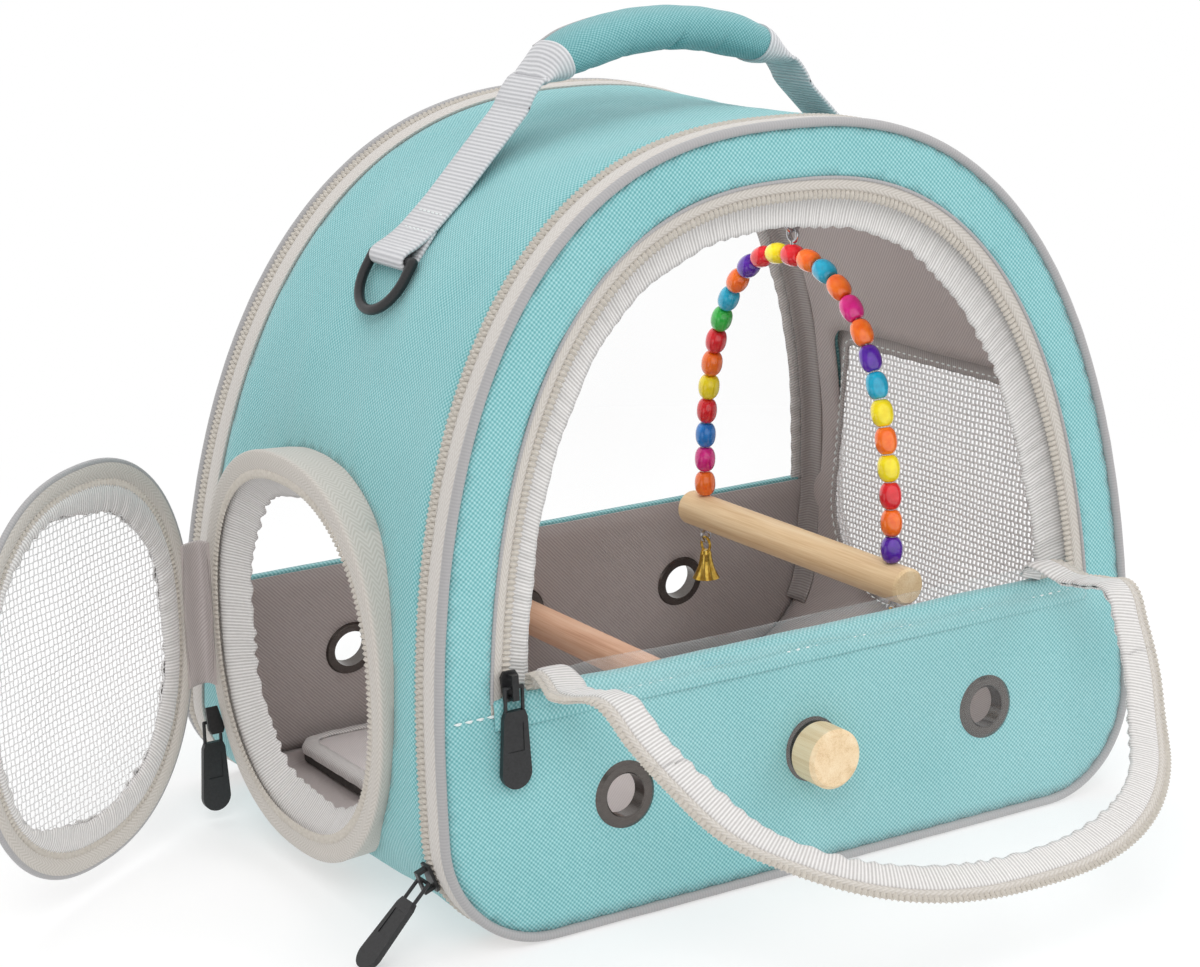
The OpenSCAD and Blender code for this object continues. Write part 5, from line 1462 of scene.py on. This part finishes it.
# Film: rows up the panel, columns across, reaching under the binding
outline = flap_line(4.0)
inner = (outline + inward(outline, closed=False) * 9.0)[: len(outline) // 2]
FILM_LOW, FILM_TOP, FILM_STEP = 89.5, 246.5, 2.5
levels = np.arange(FILM_LOW, CUTS[0], FILM_STEP)
levels = np.r_[levels, np.linspace(*CUTS, 18), np.arange(CUTS[1] + FILM_STEP, FILM_TOP, FILM_STEP)]
half_at = np.minimum(np.interp(levels, inner[:, 1], inner[:, 0]), 118.5)
span = np.linspace(-1, 1, 61)
gx = half_at[:, None] * span[None]
gz = np.broadcast_to(levels[:, None], gx.shape)
p = np.c_[gx.ravel(), gz.ravel()]
sag = (1.4 * waves(p * [1, 1.3], 120, 101) + 0.5 * waves(p, 50, 102)).reshape(gx.shape)
sag *= smooth((gz - 95) / 20) * smooth((1 - np.abs(span))[None] * 6)
film_shell = grid(np.stack([gx, FOLD_DEPTH + sag, gz], -1), turn=True)
parts = hang("flap_sheet", film_shell, film, "flap_film")

back = flap_strip([0.9, 2.4, 4.6, 6.2], [-0.5, -0.9, -0.9, -0.9])
hang("flap_tape", back, tape, None, 0.8)
face = flap_strip([0.9, 2.4, 4.6], [0.55, 1.0, 1.1], turn=True)
hang("flap_tape_face", face, tape, None, 0.8)
offsets, depths = [3.8, 4.4, 6.5, 9.0, 11.5, 13.5, 15.0], [0.9, 1.5, 1.7, 1.7, 1.6, 1.4, 0.7]
inner_side = flap_strip(offsets, depths, lift=0.4, sway=0.8, turn=True)
offsets, depths = [5.4, 6.0, 7.5, 9.0, 11.5, 13.5, 14.8], [-0.8, -1.4, -1.6, -1.6, -1.5, -1.3, -0.7]
outer_side = flap_strip(offsets, depths, lift=-0.35, sway=0.8)
hang("flap_binding", joined([inner_side, outer_side]), ribbon, "flap_edging", 0.6)
radial = np.c_[n[:, 0], n[:, 0] * 0, n[:, 1]]
path = np.c_[ring_line[:, 0], np.full(len(ring_line), FOLD_DEPTH), ring_line[:, 1]] + radial * 0.9
through = np.broadcast_to([0, 1.0, 0], path.shape)
hang("flap_teeth", both_faces(path, radial, through), nylon, None)

# ---- finishes of the CAD nodes that stay ----

for names, material in (
    ("front_eyelets rear_eyelets", gunmetal),
    ("base_board", board_cover),
    ("d_ring_left d_ring_right zip_sliders window_pull door_pull front_pull rear_pull", enamel),
    ("perch_rod", redwood),
    ("perch_caps swing_dowel", beech),
    ("swing_hook swing_wire swing_eye_screws", steel),
    ("bell_front bell_rear", brass),
):
    for name in names.split():
        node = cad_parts[name]
        for k in range(max(len(node.material_slots), 1)):
            if node.material_slots:
                node.material_slots[k].material = material
            else:
                node.data.materials.append(material)

# ---- floor, light and camera ----


def paper_floor():
    """White paper sweep: dull near the object, where it takes the shadow, and plain white further out."""
    m = bpy.data.materials.new("white_paper_floor")
    m.use_nodes = True
    tree = m.node_tree
    tree.nodes.clear()
    place = add(tree, "TexCoord", out="Object")
    far = add(tree, "VectorMath", {0: place}, operation="LENGTH", out="Value")
    fade = {"Value": far, "From Min": 0.22, "From Max": 0.7, "To Min": 0.5}
    fade = add(tree, "MapRange", fade, interpolation_type="SMOOTHSTEP")
    dull = add(tree, "BsdfDiffuse", {"Color": colour("#FCFCFC")})
    bright = add(tree, "Emission", {"Color": (1, 1, 1, 1), "Strength": 1.0})
    mixed = add(tree, "MixShader", {0: fade, 1: dull, 2: bright})
    add(tree, "OutputMaterial", {"Surface": mixed})
    return m


reach = 6000.0
corners = [[x * reach, y * reach, -0.3] for x, y in ((-1, -1), (1, -1), (1, 1), (-1, 1))]
paper = shell(corners, [np.array([[0, 1, 2, 3]])], [np.zeros((1, 4, 2))])
floor = mesh_object("paper_floor", paper, paper_floor())

world = bpy.data.worlds.new("studio")
bpy.context.scene.world = world
world.use_nodes = True
tree = world.node_tree
tree.nodes.clear()
rays = add(tree, "LightPath", out=None)
seen = rays.outputs["Is Camera Ray"]
for ray in ("Is Glossy Ray", "Is Transmission Ray"):
    seen = add(tree, "Math", {0: seen, 1: rays.outputs[ray]}, operation="MAXIMUM")
dim = add(tree, "Background", {"Color": (1, 1, 1, 1), "Strength": 0.72})
white = add(tree, "Background", {"Color": (1, 1, 1, 1), "Strength": 1.0})
add(tree, "OutputWorld", {"Surface": add(tree, "MixShader", {0: seen, 1: dim, 2: white})})


def softbox(name, place, target, size, power):
    """A square soft lamp that faces a point."""
    lamp = bpy.data.lights.new(name, "AREA")
    lamp.shape, lamp.size, lamp.energy = "SQUARE", size, power
    obj = bpy.data.objects.new(name, lamp)
    obj.location = place
    obj.rotation_euler = (Vector(target) - Vector(place)).to_track_quat("-Z", "Y").to_euler()
    obj.visible_camera = obj.visible_glossy = False
    bpy.context.scene.collection.objects.link(obj)


softbox("key_softbox", (-0.9, -1.3, 1.5), (0, 0, 0.12), size=1.1, power=13)
softbox("fill_softbox", (1.4, -1.1, 1.0), (0, 0, 0.12), size=1.2, power=10)
softbox("top_softbox", (0.1, 0.5, 1.8), (0, 0, 0.1), size=1.3, power=9)
# A weak lamp under the roof, for the light that the thin cloth lets through
softbox("cabin_glow", (0, 0, 0.262), (0, 0, 0), size=0.13, power=0.12)

camera = bpy.data.cameras.new("camera")
camera.lens, camera.sensor_width = 85.1, 36
camera.clip_start, camera.clip_end = 0.05, 50
view = bpy.data.objects.new("camera", camera)
bpy.context.scene.collection.objects.link(view)
view.location = (-0.6002, -0.9315, 0.4145)
aim = Vector((-0.02172, 0.0, 0.13122)) - Vector(view.location)
roll = Matrix.Rotation(np.radians(-1.284), 3, "Z").to_quaternion()
view.rotation_mode = "QUATERNION"
view.rotation_quaternion = aim.to_track_quat("-Z", "Y") @ roll
bpy.context.scene.camera = view
bpy.context.scene.view_settings.view_transform = "Standard"
